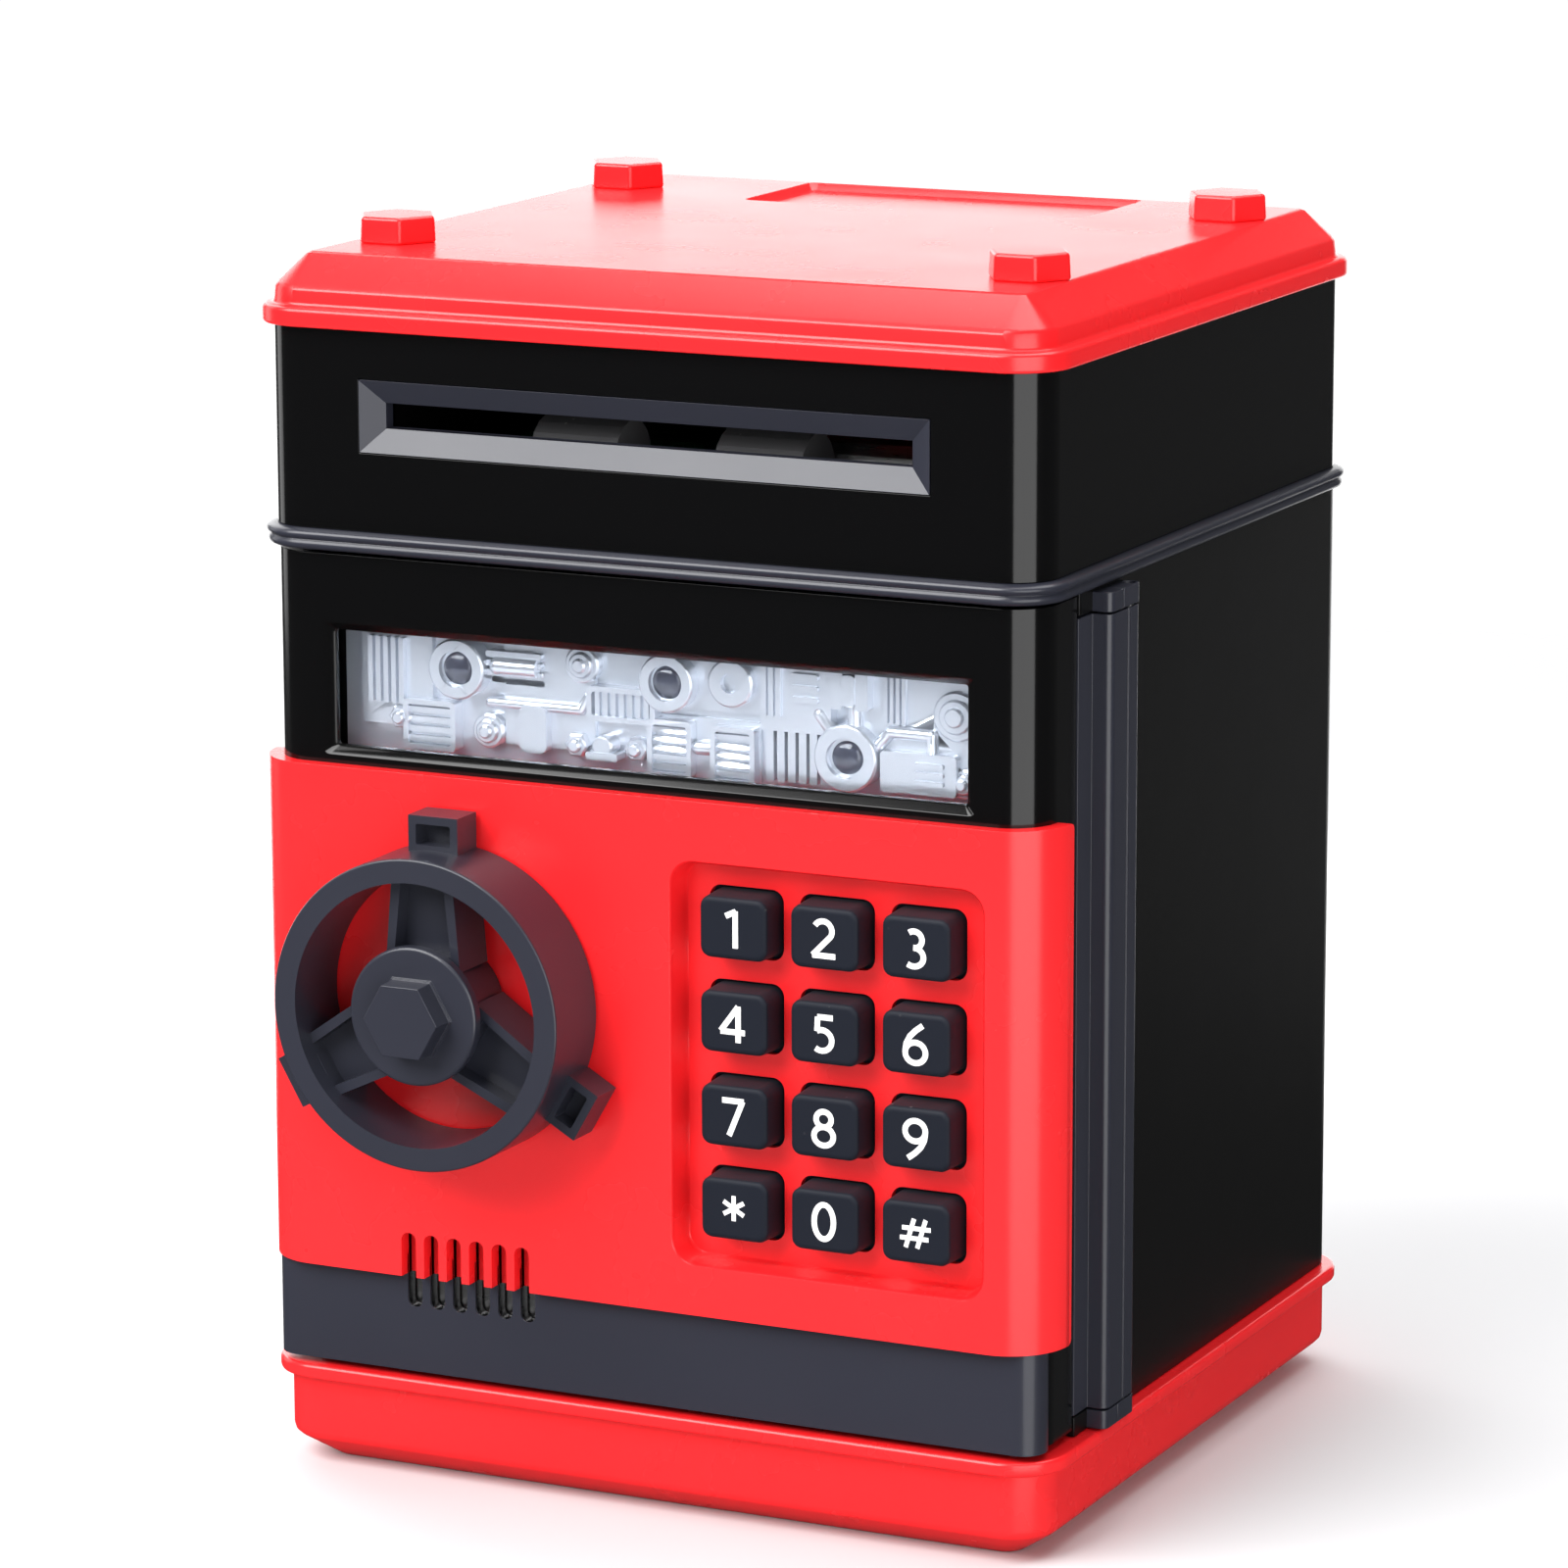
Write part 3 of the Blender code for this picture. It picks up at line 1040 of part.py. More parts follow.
def handle_wheel():
    centre = (WHEEL_X, 0, WHEEL_Z)
    wheel = part("handle_wheel", cylinder("Y", centre, WHEEL_R, WHEEL_FRONT, WHEEL_REAR, 40),
                 "black_plastic", WHEEL)
    cut(wheel, cylinder("Y", centre, WHEEL_R - WHEEL_BAND, WHEEL_FRONT - MM, WHEEL_REAR + MM, 32))
    for angle in SPOKE_ANGLES:
        spoke = box((WHEEL_X - SPOKE_W / 2, WHEEL_REAR - SPOKE_BACK - SPOKE_DEPTH,
                     WHEEL_Z + HUB_R * SPOKE_ROOT_SHARE),
                    (WHEEL_X + SPOKE_W / 2, WHEEL_REAR - SPOKE_BACK,
                     WHEEL_Z + WHEEL_R - WHEEL_BAND + SPOKE_BURY))
        join(wheel, turned_about_wheel(spoke, angle))
    join(wheel, cylinder("Y", centre, HUB_R, HUB_FRONT, WHEEL_REAR, 24))
    outer = WHEEL_R + LUG_REACH
    lug_front = WHEEL_REAR - LUG_DEPTH
    for angle in SPOKE_ANGLES:
        lug = box((WHEEL_X - LUG_W / 2, lug_front, WHEEL_Z + WHEEL_R - WHEEL_BAND * LUG_BURY_SHARE),
                  (WHEEL_X + LUG_W / 2, WHEEL_REAR - LUG_BACK, WHEEL_Z + outer))
        join(wheel, turned_about_wheel(lug, angle))
    pockets = []
    for angle in SPOKE_ANGLES:
        channel = box((WHEEL_X - SPOKE_W / 2 + SPOKE_SIDE, WHEEL_FRONT, WHEEL_Z + HUB_R + MM / 2),
                      (WHEEL_X + SPOKE_W / 2 - SPOKE_SIDE, WHEEL_REAR - SPOKE_BACK - SPOKE_FLOOR,
                       WHEEL_Z + WHEEL_R - WHEEL_BAND - MM / 2))
        pocket = box((WHEEL_X - LUG_W / 2 + LUG_WALL, lug_front - MM, WHEEL_Z + WHEEL_R + MM / 2),
                     (WHEEL_X + LUG_W / 2 - LUG_WALL, lug_front + LUG_POCKET, WHEEL_Z + outer - LUG_WALL))
        pockets += [turned_about_wheel(channel, angle), turned_about_wheel(pocket, angle)]
    bore = cylinder("Y", centre, SHAFT_R + SHAFT_CLEAR, HUB_FRONT - MM, WHEEL_REAR + MM, 16)
    cut(wheel, merged(pockets), bore)
    cap = part("wheel_cap", cylinder("Y", centre, CAP_R, CAP_FRONT, CAP_REAR, 32), "black_plastic", WHEEL)
    hexagon = cylinder("Y", centre, CAP_HEX_R, HEX_FRONT, CAP_FRONT + MM, 6)
    join(cap, turned_about_wheel(hexagon, math.degrees(HEX_TURN)))
    part("wheel_shaft", cylinder("Y", centre, SHAFT_R, HUB_FRONT + GAP, LATCH_REAR + GAP, 16), "steel", WHEEL)


def latch():
    """A pinion on the wheel's shaft drives the toothed bolt out behind the strike on the left wall."""
    middle = (LATCH_FRONT + LATCH_REAR) / 2
    teeth = gear_outline(PINION_TEETH, PINION_PITCH_R, TOOTH_OUT, TOOTH_IN, TOOTH_BACKLASH,
                         math.radians(90))
    place = (WHEEL_X, middle, WHEEL_Z)
    outline_part("latch_pinion", [teeth, circle(SHAFT_R + GAP, 16)], LATCH_T, place, "Y",
                 "white_plastic", WHEEL)
    pitch = math.tau * PINION_PITCH_R / PINION_TEETH
    left = -SIDE + WALL + BOLT_NOSE_ROOM - WHEEL_X
    right = left + BOLT_BAR_L
    root = PINION_PITCH_R + TOOTH_IN
    tip = PINION_PITCH_R - TOOTH_OUT
    top = root + BOLT_BAR_H
    outline = [(right, root), (right, top), (left, top), (left, root)]
    first = -int((-left - RACK_END) / pitch)
    for number in range(first, RACK_TEETH_AHEAD):
        at = (number + 0.5) * pitch
        half = pitch / 4 - TOOTH_BACKLASH / 2
        outline += [(at - half - RACK_FLANK_FOOT, root), (at - half + RACK_FLANK_TIP, tip),
                    (at + half - RACK_FLANK_TIP, tip), (at + half + RACK_FLANK_FOOT, root)]
    outline_part("latch_bolt", [outline], LATCH_T, place, "Y", "white_plastic", BOLT)
    guide_z = WHEEL_Z + top + GAP
    x0, x1 = WHEEL_X + left + GUIDE_START, WHEEL_X + right - GUIDE_END
    guide = part("latch_guide", box((x0, COVER_REAR + GAP, guide_z),
                                    (x1, LATCH_REAR + GAP + GUIDE_T, guide_z + GUIDE_T)),
                 "black_plastic", DOOR)
    join(guide, box((x0, LATCH_REAR + GAP, guide_z - GUIDE_LIP),
                    (x1, LATCH_REAR + GAP + GUIDE_T, guide_z + GUIDE_T / 2)))


# ---- banknote feed ------------------------------------------------------------------------------------------------
def feed_frame():
    y0 = FEED_Y - FRAME_AHEAD
    y1 = y0 + FRAME_D
    z0 = DECK_Z1 + GAP
    outer = FRAME_HALF_W + FRAME_T
    frame = part("feed_frame", box((-outer, y0, z0), (outer, y1, z0 + FRAME_H)), "white_plastic")
    cut(frame, box((-FRAME_HALF_W, y0 - MM, z0 + FRAME_FLOOR), (FRAME_HALF_W, y1 + MM, z0 + FRAME_H + MM)),
        box((-FRAME_HALF_W, y0 - MM, z0 - MM), (FRAME_HALF_W, y1 + MM, z0 + FRAME_FOOT)))
    bores = [cylinder("X", (0, FEED_Y, ROLLER_Z), ROLLER_SHAFT_R + GAP, -outer - MM, outer + MM, 12),
             cylinder("X", (0, FEED_Y, PINCH_Z), PINCH_SHAFT_R + GAP, -outer - MM, outer + MM, 12)]
    cut(frame, merged(bores),
        cylinder("X", (0, MOTOR_Y, ROLLER_Z), MOTOR_SHAFT_R + GAP, FRAME_HALF_W - MM, outer + MM, 12))


def roller_profile(radius, shaft, end_left, end_right):
    a, b = ROLLER_X - ROLLER_W / 2, ROLLER_X + ROLLER_W / 2
    return [(end_left, shaft), (-b, shaft), (-b, radius), (-a, radius), (-a, shaft),
            (a, shaft), (a, radius), (b, radius), (b, shaft), (end_right, shaft)]


def feed_rollers():
    feed = empty("feed_axis", (0.0, FEED_Y, ROLLER_Z), FRAME)
    pinch = empty("pinch_axis", (0.0, FEED_Y, PINCH_Z), FRAME)
    motor = empty("motor_axis", (0.0, MOTOR_Y, ROLLER_Z), FRAME)
    end = FRAME_HALF_W + FRAME_T
    turned_part("drive_roller", roller_profile(ROLLER_R, ROLLER_SHAFT_R, -end - MM, GEAR_X + GEAR_T + MM),
                (0, FEED_Y, ROLLER_Z), "X", 18, "roller_rubber", feed)
    turned_part("pinch_roller", roller_profile(PINCH_R, PINCH_SHAFT_R, -end - MM, end + MM / 2),
                (0, FEED_Y, PINCH_Z), "X", 16, "roller_rubber", pinch)
    middle = GEAR_X + GEAR_T / 2
    wheel = gear_outline(GEAR_TEETH, GEAR_R, GEAR_TOOTH_OUT, GEAR_TOOTH_IN, GEAR_BACKLASH, 0.0)
    outline_part("roller_gear", [wheel, circle(ROLLER_SHAFT_R + GAP, 12)], GEAR_T,
                 (middle, FEED_Y, ROLLER_Z), "X", "white_plastic", feed)
    small = gear_outline(MOTOR_TEETH, MOTOR_PITCH_R, GEAR_TOOTH_OUT, GEAR_TOOTH_IN, GEAR_BACKLASH,
                         math.pi + math.pi / MOTOR_TEETH)
    outline_part("motor_pinion", [small, circle(MOTOR_SHAFT_R + GAP, 10)], GEAR_T,
                 (middle, MOTOR_Y, ROLLER_Z), "X", "white_plastic", motor)
    body = [(FRAME_HALF_W - GAP - MOTOR_L, MOTOR_R), (FRAME_HALF_W - GAP, MOTOR_R),
            (FRAME_HALF_W - GAP, MOTOR_SHAFT_R), (GEAR_X + GEAR_T, MOTOR_SHAFT_R)]
    turned_part("feed_motor", body, (0, MOTOR_Y, ROLLER_Z), "X", 16, "steel")


def main_board():
    z = DECK_Z1 + MAIN_BOARD_LIFT
    x0 = -SIDE + WALL + MAIN_BOARD_IN
    y1 = COIN_Y - chute_half()[1]
    part("main_board", box((x0, y1 - MAIN_BOARD_W, z), (x0 + MAIN_BOARD_L, y1, z + BOARD_T)), "board_green")


def smooth_route(points, spacing):
    """Evenly spaced points on a Catmull-Rom curve through the given ones."""
    ends = [points[0] * 2 - points[1], *points, points[-1] * 2 - points[-2]]
    dense = []
    for before, start, end, after in zip(ends, ends[1:], ends[2:], ends[3:]):
        for step in range(ROUTE_STEPS):
            t = step / ROUTE_STEPS
            dense.append(0.5 * (2 * start + (end - before) * t
                                + (2 * before - 5 * start + 4 * end - after) * t ** 2
                                + (3 * start - before - 3 * end + after) * t ** 3))
    dense.append(points[-1])
    route = [dense[0]]
    for point in dense:
        if (point - route[-1]).length >= spacing:
            route.append(point)
    return route


def power_lead():
    """The lead from the battery bay up the rear right corner to the main board."""
    base_in = Vector((LEAD_X, LEAD_Y, BASE_H - WALL - LEAD_TAIL))
    deck = DECK_Z1 + LEAD_LIFT
    board_x = -SIDE + WALL + MAIN_BOARD_L
    board_y = COIN_Y - chute_half()[1]
    chute_left = COIN_SLOT_X - chute_half()[0]
    behind = (COIN_Y + chute_half()[1] + LEAD_Y) / 2
    rise = [Vector((LEAD_X, LEAD_Y, BASE_H + VAULT_H * share)) for share in LEAD_SHARES]
    points = [base_in, *rise, Vector((LEAD_X, LEAD_Y, Z_BELT)),
              Vector((LEAD_X - LEAD_TURN, LEAD_Y - 2 * MM, deck + LEAD_TAIL)),
              Vector((COIN_SLOT_X, behind + LEAD_TAIL, deck)),
              Vector((chute_left - LEAD_CLEAR, behind - MM, deck)),
              Vector((board_x, board_y + LEAD_TURN, deck)), Vector((board_x, board_y + GAP, deck - MM))]
    route = smooth_route(points, 5 * LEAD_R)
    data = bpy.data.curves.new("power_lead", "CURVE")
    data.dimensions = "3D"
    data.bevel_depth = LEAD_R
    data.bevel_resolution = 2
    data.use_fill_caps = True
    spline = data.splines.new("POLY")
    spline.points.add(len(route) - 1)
    for point, place in zip(spline.points, route):
        point.co = (*place, 1.0)
    data.materials.append(MATERIALS["lead_jacket"])
    link("power_lead", data, PARTS, FRAME)


def build():
    top_lid()
    lid_bolts()
    coin_chute()
    upper_housing()
    note_bezel()
    belt_moulding()
    divider_deck()
    lower_body()
    base()
    battery_bay()
    contacts()
    door_shell()
    door_panel()
    keys()
    keypad_electronics()
    window()
    door_inside()
    hinge()
    handle_wheel()
    latch()
    feed_frame()
    feed_rollers()
    main_board()
    power_lead()


build()
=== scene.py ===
"""A toy safe coin bank, finished for display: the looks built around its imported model.

Lengths are in metres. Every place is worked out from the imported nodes' boxes, so a piece sits
where its node sits.
"""
import json
import math

import bmesh
import bpy
from bpy.props import FloatProperty, FloatVectorProperty, IntProperty, PointerProperty
from mathutils import Matrix, Vector


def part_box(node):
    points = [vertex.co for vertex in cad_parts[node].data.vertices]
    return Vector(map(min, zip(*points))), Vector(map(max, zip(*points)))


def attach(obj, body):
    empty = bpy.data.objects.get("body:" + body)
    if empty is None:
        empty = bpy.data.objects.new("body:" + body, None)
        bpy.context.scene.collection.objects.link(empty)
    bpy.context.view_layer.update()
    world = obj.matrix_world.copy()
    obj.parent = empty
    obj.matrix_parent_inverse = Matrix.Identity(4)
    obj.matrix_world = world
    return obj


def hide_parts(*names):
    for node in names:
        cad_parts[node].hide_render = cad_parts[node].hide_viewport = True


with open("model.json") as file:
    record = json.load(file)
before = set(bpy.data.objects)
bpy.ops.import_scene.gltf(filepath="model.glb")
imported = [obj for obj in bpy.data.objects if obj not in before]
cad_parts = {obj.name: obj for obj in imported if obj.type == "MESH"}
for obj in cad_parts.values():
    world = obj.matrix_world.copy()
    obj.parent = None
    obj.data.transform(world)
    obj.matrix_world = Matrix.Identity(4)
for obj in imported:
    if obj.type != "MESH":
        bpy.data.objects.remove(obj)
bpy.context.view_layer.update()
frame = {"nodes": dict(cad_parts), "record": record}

bl_info = {
    "name": "Toy safe coin bank",
    "version": (1, 0, 0),
    "blender": (4, 5, 0),
    "location": "View3D > Sidebar > Toy Safe",
    "description": "Builds a toy safe coin bank with its keypad, handle wheel and moulded finishes",
    "category": "Object",
}

MM = 0.001
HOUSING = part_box("upper_housing")
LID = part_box("top_lid")
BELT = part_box("belt_moulding")
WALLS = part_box("lower_body")
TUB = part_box("base")
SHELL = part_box("door_shell")
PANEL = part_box("door_panel")
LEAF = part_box("hinge_leaf")
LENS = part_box("window_lens")
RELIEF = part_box("relief_plate")
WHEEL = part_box("handle_wheel")
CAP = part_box("wheel_cap")
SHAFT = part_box("wheel_shaft")
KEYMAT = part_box("keypad_mat")
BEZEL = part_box("note_bezel")
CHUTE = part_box("coin_chute")
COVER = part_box("battery_cover")
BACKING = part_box("door_back_cover")
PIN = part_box("hinge_pin")
GAP = 0.3 * MM
OVERCUT = 1.0 * MM
SHAFT_HOLE = 3.3 * MM
SPOKE_ANGLES = (0, 120, 240)
COVER_SCREWS = ("cover_screw_bottom", "cover_screw_top")
LID_BOLTS = ("lid_bolt_front_left", "lid_bolt_front_right", "lid_bolt_rear_left", "lid_bolt_rear_right")
MID = (HOUSING[0] + HOUSING[1]) / 2
SIDE = (HOUSING[1].x - HOUSING[0].x) / 2
DEPTH = (HOUSING[1].y - HOUSING[0].y) / 2
FRONT = HOUSING[0].y
BACK = HOUSING[1].y
AXIS = (SHAFT[0] + SHAFT[1]) / 2
HINGE = (PIN[0] + PIN[1]) / 2
WINDOW = (LENS[0] + LENS[1]) / 2
KEYS = {"key_1": "1", "key_2": "2", "key_3": "3", "key_4": "4", "key_5": "5", "key_6": "6",
        "key_7": "7", "key_8": "8", "key_9": "9", "key_star": "star", "key_0": "0",
        "key_hash": "hash"}


# ---- sizes and colours that a user may change ----------------------------------------------------
def length(name, description, default):
    return FloatProperty(name=name, description=description, default=default, min=0.0,
                         unit="LENGTH", subtype="DISTANCE", precision=5)


def colour(name, description, default):
    return FloatVectorProperty(name=name, description=description, default=default, size=3,
                               min=0.0, max=1.0, subtype="COLOR")


class ToySafeSizes(bpy.types.PropertyGroup):
    """Sizes of the shells, the handle wheel and the keypad."""
    corner_radius: length("Corner radius", "Upright corners of the body", 7.0 * MM)
    wall: length("Wall", "Thickness of the moulded walls", 2.2 * MM)
    soft_edge: length("Soft edge", "Rounding left on a moulded edge", 0.35 * MM)
    rim_round: length("Panel rim", "Rounding of the red panel's rim", 1.5 * MM)
    wing_round: length("Wing corner", "Rounding of the red panel's rear corners", 3.0 * MM)
    lid_bevel_x: length("Lid bevel across", "Width of the lid's bevel at the sides", 5.3 * MM)
    lid_bevel_y: length("Lid bevel along", "Width of the lid's bevel at front and back", 6.2 * MM)
    coin_slot_length: length("Coin slot length", "Length of the slot in the lid", 39.0 * MM)
    coin_slot_width: length("Coin slot width", "Width of the slot in the lid", 2.9 * MM)
    window_funnel: length("Window slope", "Width of the slope round the window", 2.4 * MM)
    keypad_radius: length("Keypad corner", "Corner radius of the keypad's recess", 3.4 * MM)
    keypad_depth: length("Keypad depth", "Depth of the keypad's recess", 4.2 * MM)
    digit_height: length("Digit height", "Height of a printed digit", 5.75 * MM)
    digit_stroke: length("Digit stroke", "Width of a printed digit's stroke", 0.86 * MM)
    corner_steps: IntProperty(name="Corner steps", description="Facets in each upright corner",
                              default=12, min=3, max=32)


class ToySafeColours(bpy.types.PropertyGroup):
    """Base colours of the finishes."""
    red: colour("Red", "Moulded red of the lid, base and door panel", (0.86, 0.014, 0.018))
    black: colour("Black", "Moulded black of the housing and body", (0.0022, 0.0022, 0.0024))
    slate: colour("Slate", "Blue grey of the wheel, hinge and bezel", (0.021, 0.0225, 0.034))
    rubber: colour("Rubber", "Blue black of the keys", (0.005, 0.0072, 0.0145))
    ink: colour("Ink", "White of the printed digits", (0.9, 0.9, 0.9))
    silver: colour("Silver", "Painted relief behind the window", (0.78, 0.81, 0.86))
    floor: colour("Floor", "Pale floor of the studio", (0.62, 0.62, 0.63))


class ToySafeStudio(bpy.types.PropertyGroup):
    """Where the camera stands, where it aims and its lens."""
    azimuth: FloatProperty(name="Azimuth", description="Camera's turn to the right of the front",
                           default=math.radians(25.63), subtype="ANGLE")
    elevation: FloatProperty(name="Elevation", description="Camera's height above the horizon",
                             default=math.radians(12.0), subtype="ANGLE")
    roll: FloatProperty(name="Roll", description="Camera's turn about its own line of sight",
                        default=math.radians(-0.17), subtype="ANGLE")
    distance: length("Distance", "From the camera to the point that it looks at", 1.0169)
    aim_x: FloatProperty(name="Aim across", description="Aim point from the body's middle",
                         default=-5.9 * MM, unit="LENGTH")
    aim_z: FloatProperty(name="Aim height", description="Aim point above the floor",
                         default=99.4 * MM, unit="LENGTH")
    lens: FloatProperty(name="Lens", description="Focal length in millimetres", default=150.8)


def sizes():
    return bpy.context.scene.toy_safe_sizes


def colours():
    return bpy.context.scene.toy_safe_colours


# ---- mesh helpers --------------------------------------------------------------------------------
AXES = {"X": 0, "Y": 1, "Z": 2}
TURN = {"X": Matrix.Rotation(math.radians(90), 4, "Y"),
        "Y": Matrix.Rotation(math.radians(-90), 4, "X"),
        "Z": Matrix.Identity(4)}


def box(low, high, radius=0.0, axis="Z", where=None, segments=None):
    """A block between two corners; the edges along axis that where accepts are rounded."""
    shape = bmesh.new()
    bmesh.ops.create_cube(shape, size=1.0)
    low, high = Vector(low), Vector(high)
    bmesh.ops.scale(shape, vec=high - low, verts=shape.verts)
    bmesh.ops.translate(shape, vec=(low + high) / 2, verts=shape.verts)
    if radius > 0.0:
        along = AXES[axis]
        edges = []
        for edge in shape.edges:
            run = (edge.verts[0].co - edge.verts[1].co).normalized()
            middle = (edge.verts[0].co + edge.verts[1].co) / 2
            if abs(run[along]) > 0.99 and (where is None or where(middle)):
                edges.append(edge)
        bmesh.ops.bevel(shape, geom=edges, offset=radius, segments=segments or sizes().corner_steps,
                        profile=0.5, affect="EDGES", clamp_overlap=True)
    return shape


def plate(x, z, half_x, half_z, y0, y1, radius=0.0, segments=8):
    """A plate or hole seen from the front."""
    return box((x - half_x, y0, z - half_z), (x + half_x, y1, z + half_z), radius, "Y", None, segments)


def rod(axis, centre, radius, low, high, sides=48, end_radius=None):
    shape = bmesh.new()
    middle = Vector(centre)
    middle[AXES[axis]] = (low + high) / 2
    bmesh.ops.create_cone(shape, cap_ends=True, segments=sides, radius1=radius,
                          radius2=radius if end_radius is None else end_radius,
                          depth=high - low, matrix=Matrix.Translation(middle) @ TURN[axis])
    return shape


def turned(profile, centre, axis="Y", sides=64):
    """A solid of revolution: (position on the axis, radius) pairs, closed by a cap at each end."""
    shape = bmesh.new()
    rings = []
    for position, radius in profile:
        ring = []
        for index in range(sides):
            angle = math.tau * index / sides
            u, v = radius * math.cos(angle), radius * math.sin(angle)
            place = {"X": (position, centre[1] + u, centre[2] + v),
                     "Y": (centre[0] + u, position, centre[2] + v),
                     "Z": (centre[0] + u, centre[1] + v, position)}
            ring.append(shape.verts.new(place[axis]))
        rings.append(ring)
    bridge(shape, rings)
    return shape


def bridge(shape, rings, closed=False):
    """Faces between rings of equal length, with a cap on each end unless the rings close on themselves."""
    pairs = list(zip(rings, rings[1:]))
    if closed:
        pairs.append((rings[-1], rings[0]))
    else:
        shape.faces.new(rings[0])
        shape.faces.new(rings[-1])
    for lower, upper in pairs:
        for index in range(len(lower)):
            after = (index + 1) % len(lower)
            shape.faces.new((lower[index], lower[after], upper[after], upper[index]))
    bmesh.ops.recalc_face_normals(shape, faces=shape.faces)


def rounded_ring(half_x, half_y, radius, steps):
    points = []
    for corner, (sx, sy) in enumerate(((1, 1), (-1, 1), (-1, -1), (1, -1))):
        for step in range(steps + 1):
            angle = math.radians(90) * (corner + step / steps)
            points.append((sx * (half_x - radius) + radius * math.cos(angle),
                           sy * (half_y - radius) + radius * math.sin(angle)))
    return points


def loft(sections, steps=None, centre=None, axis="Z", closed=False):
    """A loft through rounded rectangles: (level, half width, half depth, corner radius)."""
    shape = bmesh.new()
    centre = centre or (MID.x, MID.y)
    steps = steps or sizes().corner_steps
    rings = []
    for level, half_u, half_v, radius in sections:
        ring = []
        for u, v in rounded_ring(half_u, half_v, max(radius, 0.02 * MM), steps):
            place = {"Z": (u + centre[0], v + centre[1], level), "Y": (u + centre[0], level, v + centre[1])}
            ring.append(shape.verts.new(place[axis]))
        rings.append(ring)
    bridge(shape, rings, closed)
    return shape


def body_ring(level, out):
    """A section of the body's outline, grown or shrunk by out."""
    return level, SIDE + out, DEPTH + out, sizes().corner_radius + out


def merged(shapes):
    whole = bmesh.new()
    for shape in shapes:
        data = bpy.data.meshes.new("merged")
        shape.to_mesh(data)
        shape.free()
        whole.from_mesh(data)
        bpy.data.meshes.remove(data)
    return whole


def spun(shape, centre, angle, axis="Y"):
    bmesh.ops.rotate(shape, cent=centre, matrix=Matrix.Rotation(math.radians(angle), 3, axis),
                     verts=shape.verts)
    return shape


def worked(shape, *steps):
    """A solid after its Booleans. Each step is ("cut" or "join", another solid)."""
    data = bpy.data.meshes.new("work")
    shape.to_mesh(data)
    shape.free()
    work = bpy.data.objects.new("work", data)
    bpy.context.scene.collection.objects.link(work)
    tools = []
    for kind, tool in steps:
        tool_data = bpy.data.meshes.new("tool")
        tool.to_mesh(tool_data)
        tool.free()
        tool_object = bpy.data.objects.new("tool", tool_data)
        bpy.context.scene.collection.objects.link(tool_object)
        tools.append(tool_object)
        modifier = work.modifiers.new("work", "BOOLEAN")
        modifier.operation = "DIFFERENCE" if kind == "cut" else "UNION"
        modifier.solver = "EXACT"
        modifier.object = tool_object
    bpy.context.view_layer.update()
    result = bpy.data.meshes.new_from_object(work.evaluated_get(bpy.context.evaluated_depsgraph_get()))
    made = bmesh.new()
    made.from_mesh(result)
    bmesh.ops.remove_doubles(made, verts=made.verts, dist=0.002 * MM)
    bmesh.ops.dissolve_limit(made, angle_limit=math.radians(0.5), verts=made.verts, edges=made.edges)
    for old in [work, *tools]:
        old_data = old.data
        bpy.data.objects.remove(old, do_unlink=True)
        bpy.data.meshes.remove(old_data)
    bpy.data.meshes.remove(result)
    return made


def piece(name, shape, material, body, nodes=(), soft=None, smooth=32, limit=35, segments=3):
    """A finished piece: its mesh, its softened edges, its material, and the body that it rides on."""
    data = bpy.data.meshes.new(name)
    shape.to_mesh(data)
    shape.free()
    obj = bpy.data.objects.new(name, data)
    bpy.context.scene.collection.objects.link(obj)
    data.materials.append(material)
    data.shade_smooth()
    soft = sizes().soft_edge if soft is None else soft
    if soft > 0.0:
        edge = obj.modifiers.new("soft edges", "BEVEL")
        edge.width = soft
        edge.segments = segments
        edge.limit_method = "ANGLE"
        edge.angle_limit = math.radians(limit)
        edge.miter_outer = "MITER_ARC"
        edge.use_clamp_overlap = True
    else:
        data.set_sharp_from_angle(angle=math.radians(smooth))
    flat = obj.modifiers.new("flat faces", "WEIGHTED_NORMAL")
    flat.weight = 100
    flat.keep_sharp = True
    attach(obj, body)
    if nodes:
        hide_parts(*nodes)
    return obj


# ---- shared shader effects -----------------------------------------------------------------------
def group(name, inputs, outputs):
    tree = bpy.data.node_groups.new(name, "ShaderNodeTree")
    for label, default in inputs:
        socket = tree.interface.new_socket(label, in_out="INPUT", socket_type="NodeSocketFloat")
        socket.default_value = default
    for label in outputs:
        tree.interface.new_socket(label, in_out="OUTPUT", socket_type="NodeSocketFloat")
    return tree, tree.nodes.new("NodeGroupInput"), tree.nodes.new("NodeGroupOutput")


def add(tree, kind, **values):
    """A node with settings, and socket values given by the socket's own name."""
    node = tree.nodes.new(kind)
    for name, value in values.items():
        if hasattr(node, name):
            setattr(node, name, value)
        else:
            node.inputs[name.replace("_", " ")].default_value = value
    return node


def maths(tree, operation, first, second):
    node = add(tree, "ShaderNodeMath", operation=operation)
    for socket, value in zip(node.inputs, (first, second)):
        if isinstance(value, (int, float)):
            socket.default_value = value
        else:
            tree.links.new(value, socket)
    return node.outputs[0]


def noise(tree, scale, detail=3.0, roughness=0.5, coordinates=None):
    coordinates = coordinates or add(tree, "ShaderNodeTexCoord").outputs["Object"]
    node = add(tree, "ShaderNodeTexNoise", Detail=detail, Roughness=roughness)
    tree.links.new(coordinates, node.inputs["Vector"])
    if isinstance(scale, (int, float)):
        node.inputs["Scale"].default_value = scale
    else:
        tree.links.new(scale, node.inputs["Scale"])
    return node.outputs["Fac"]


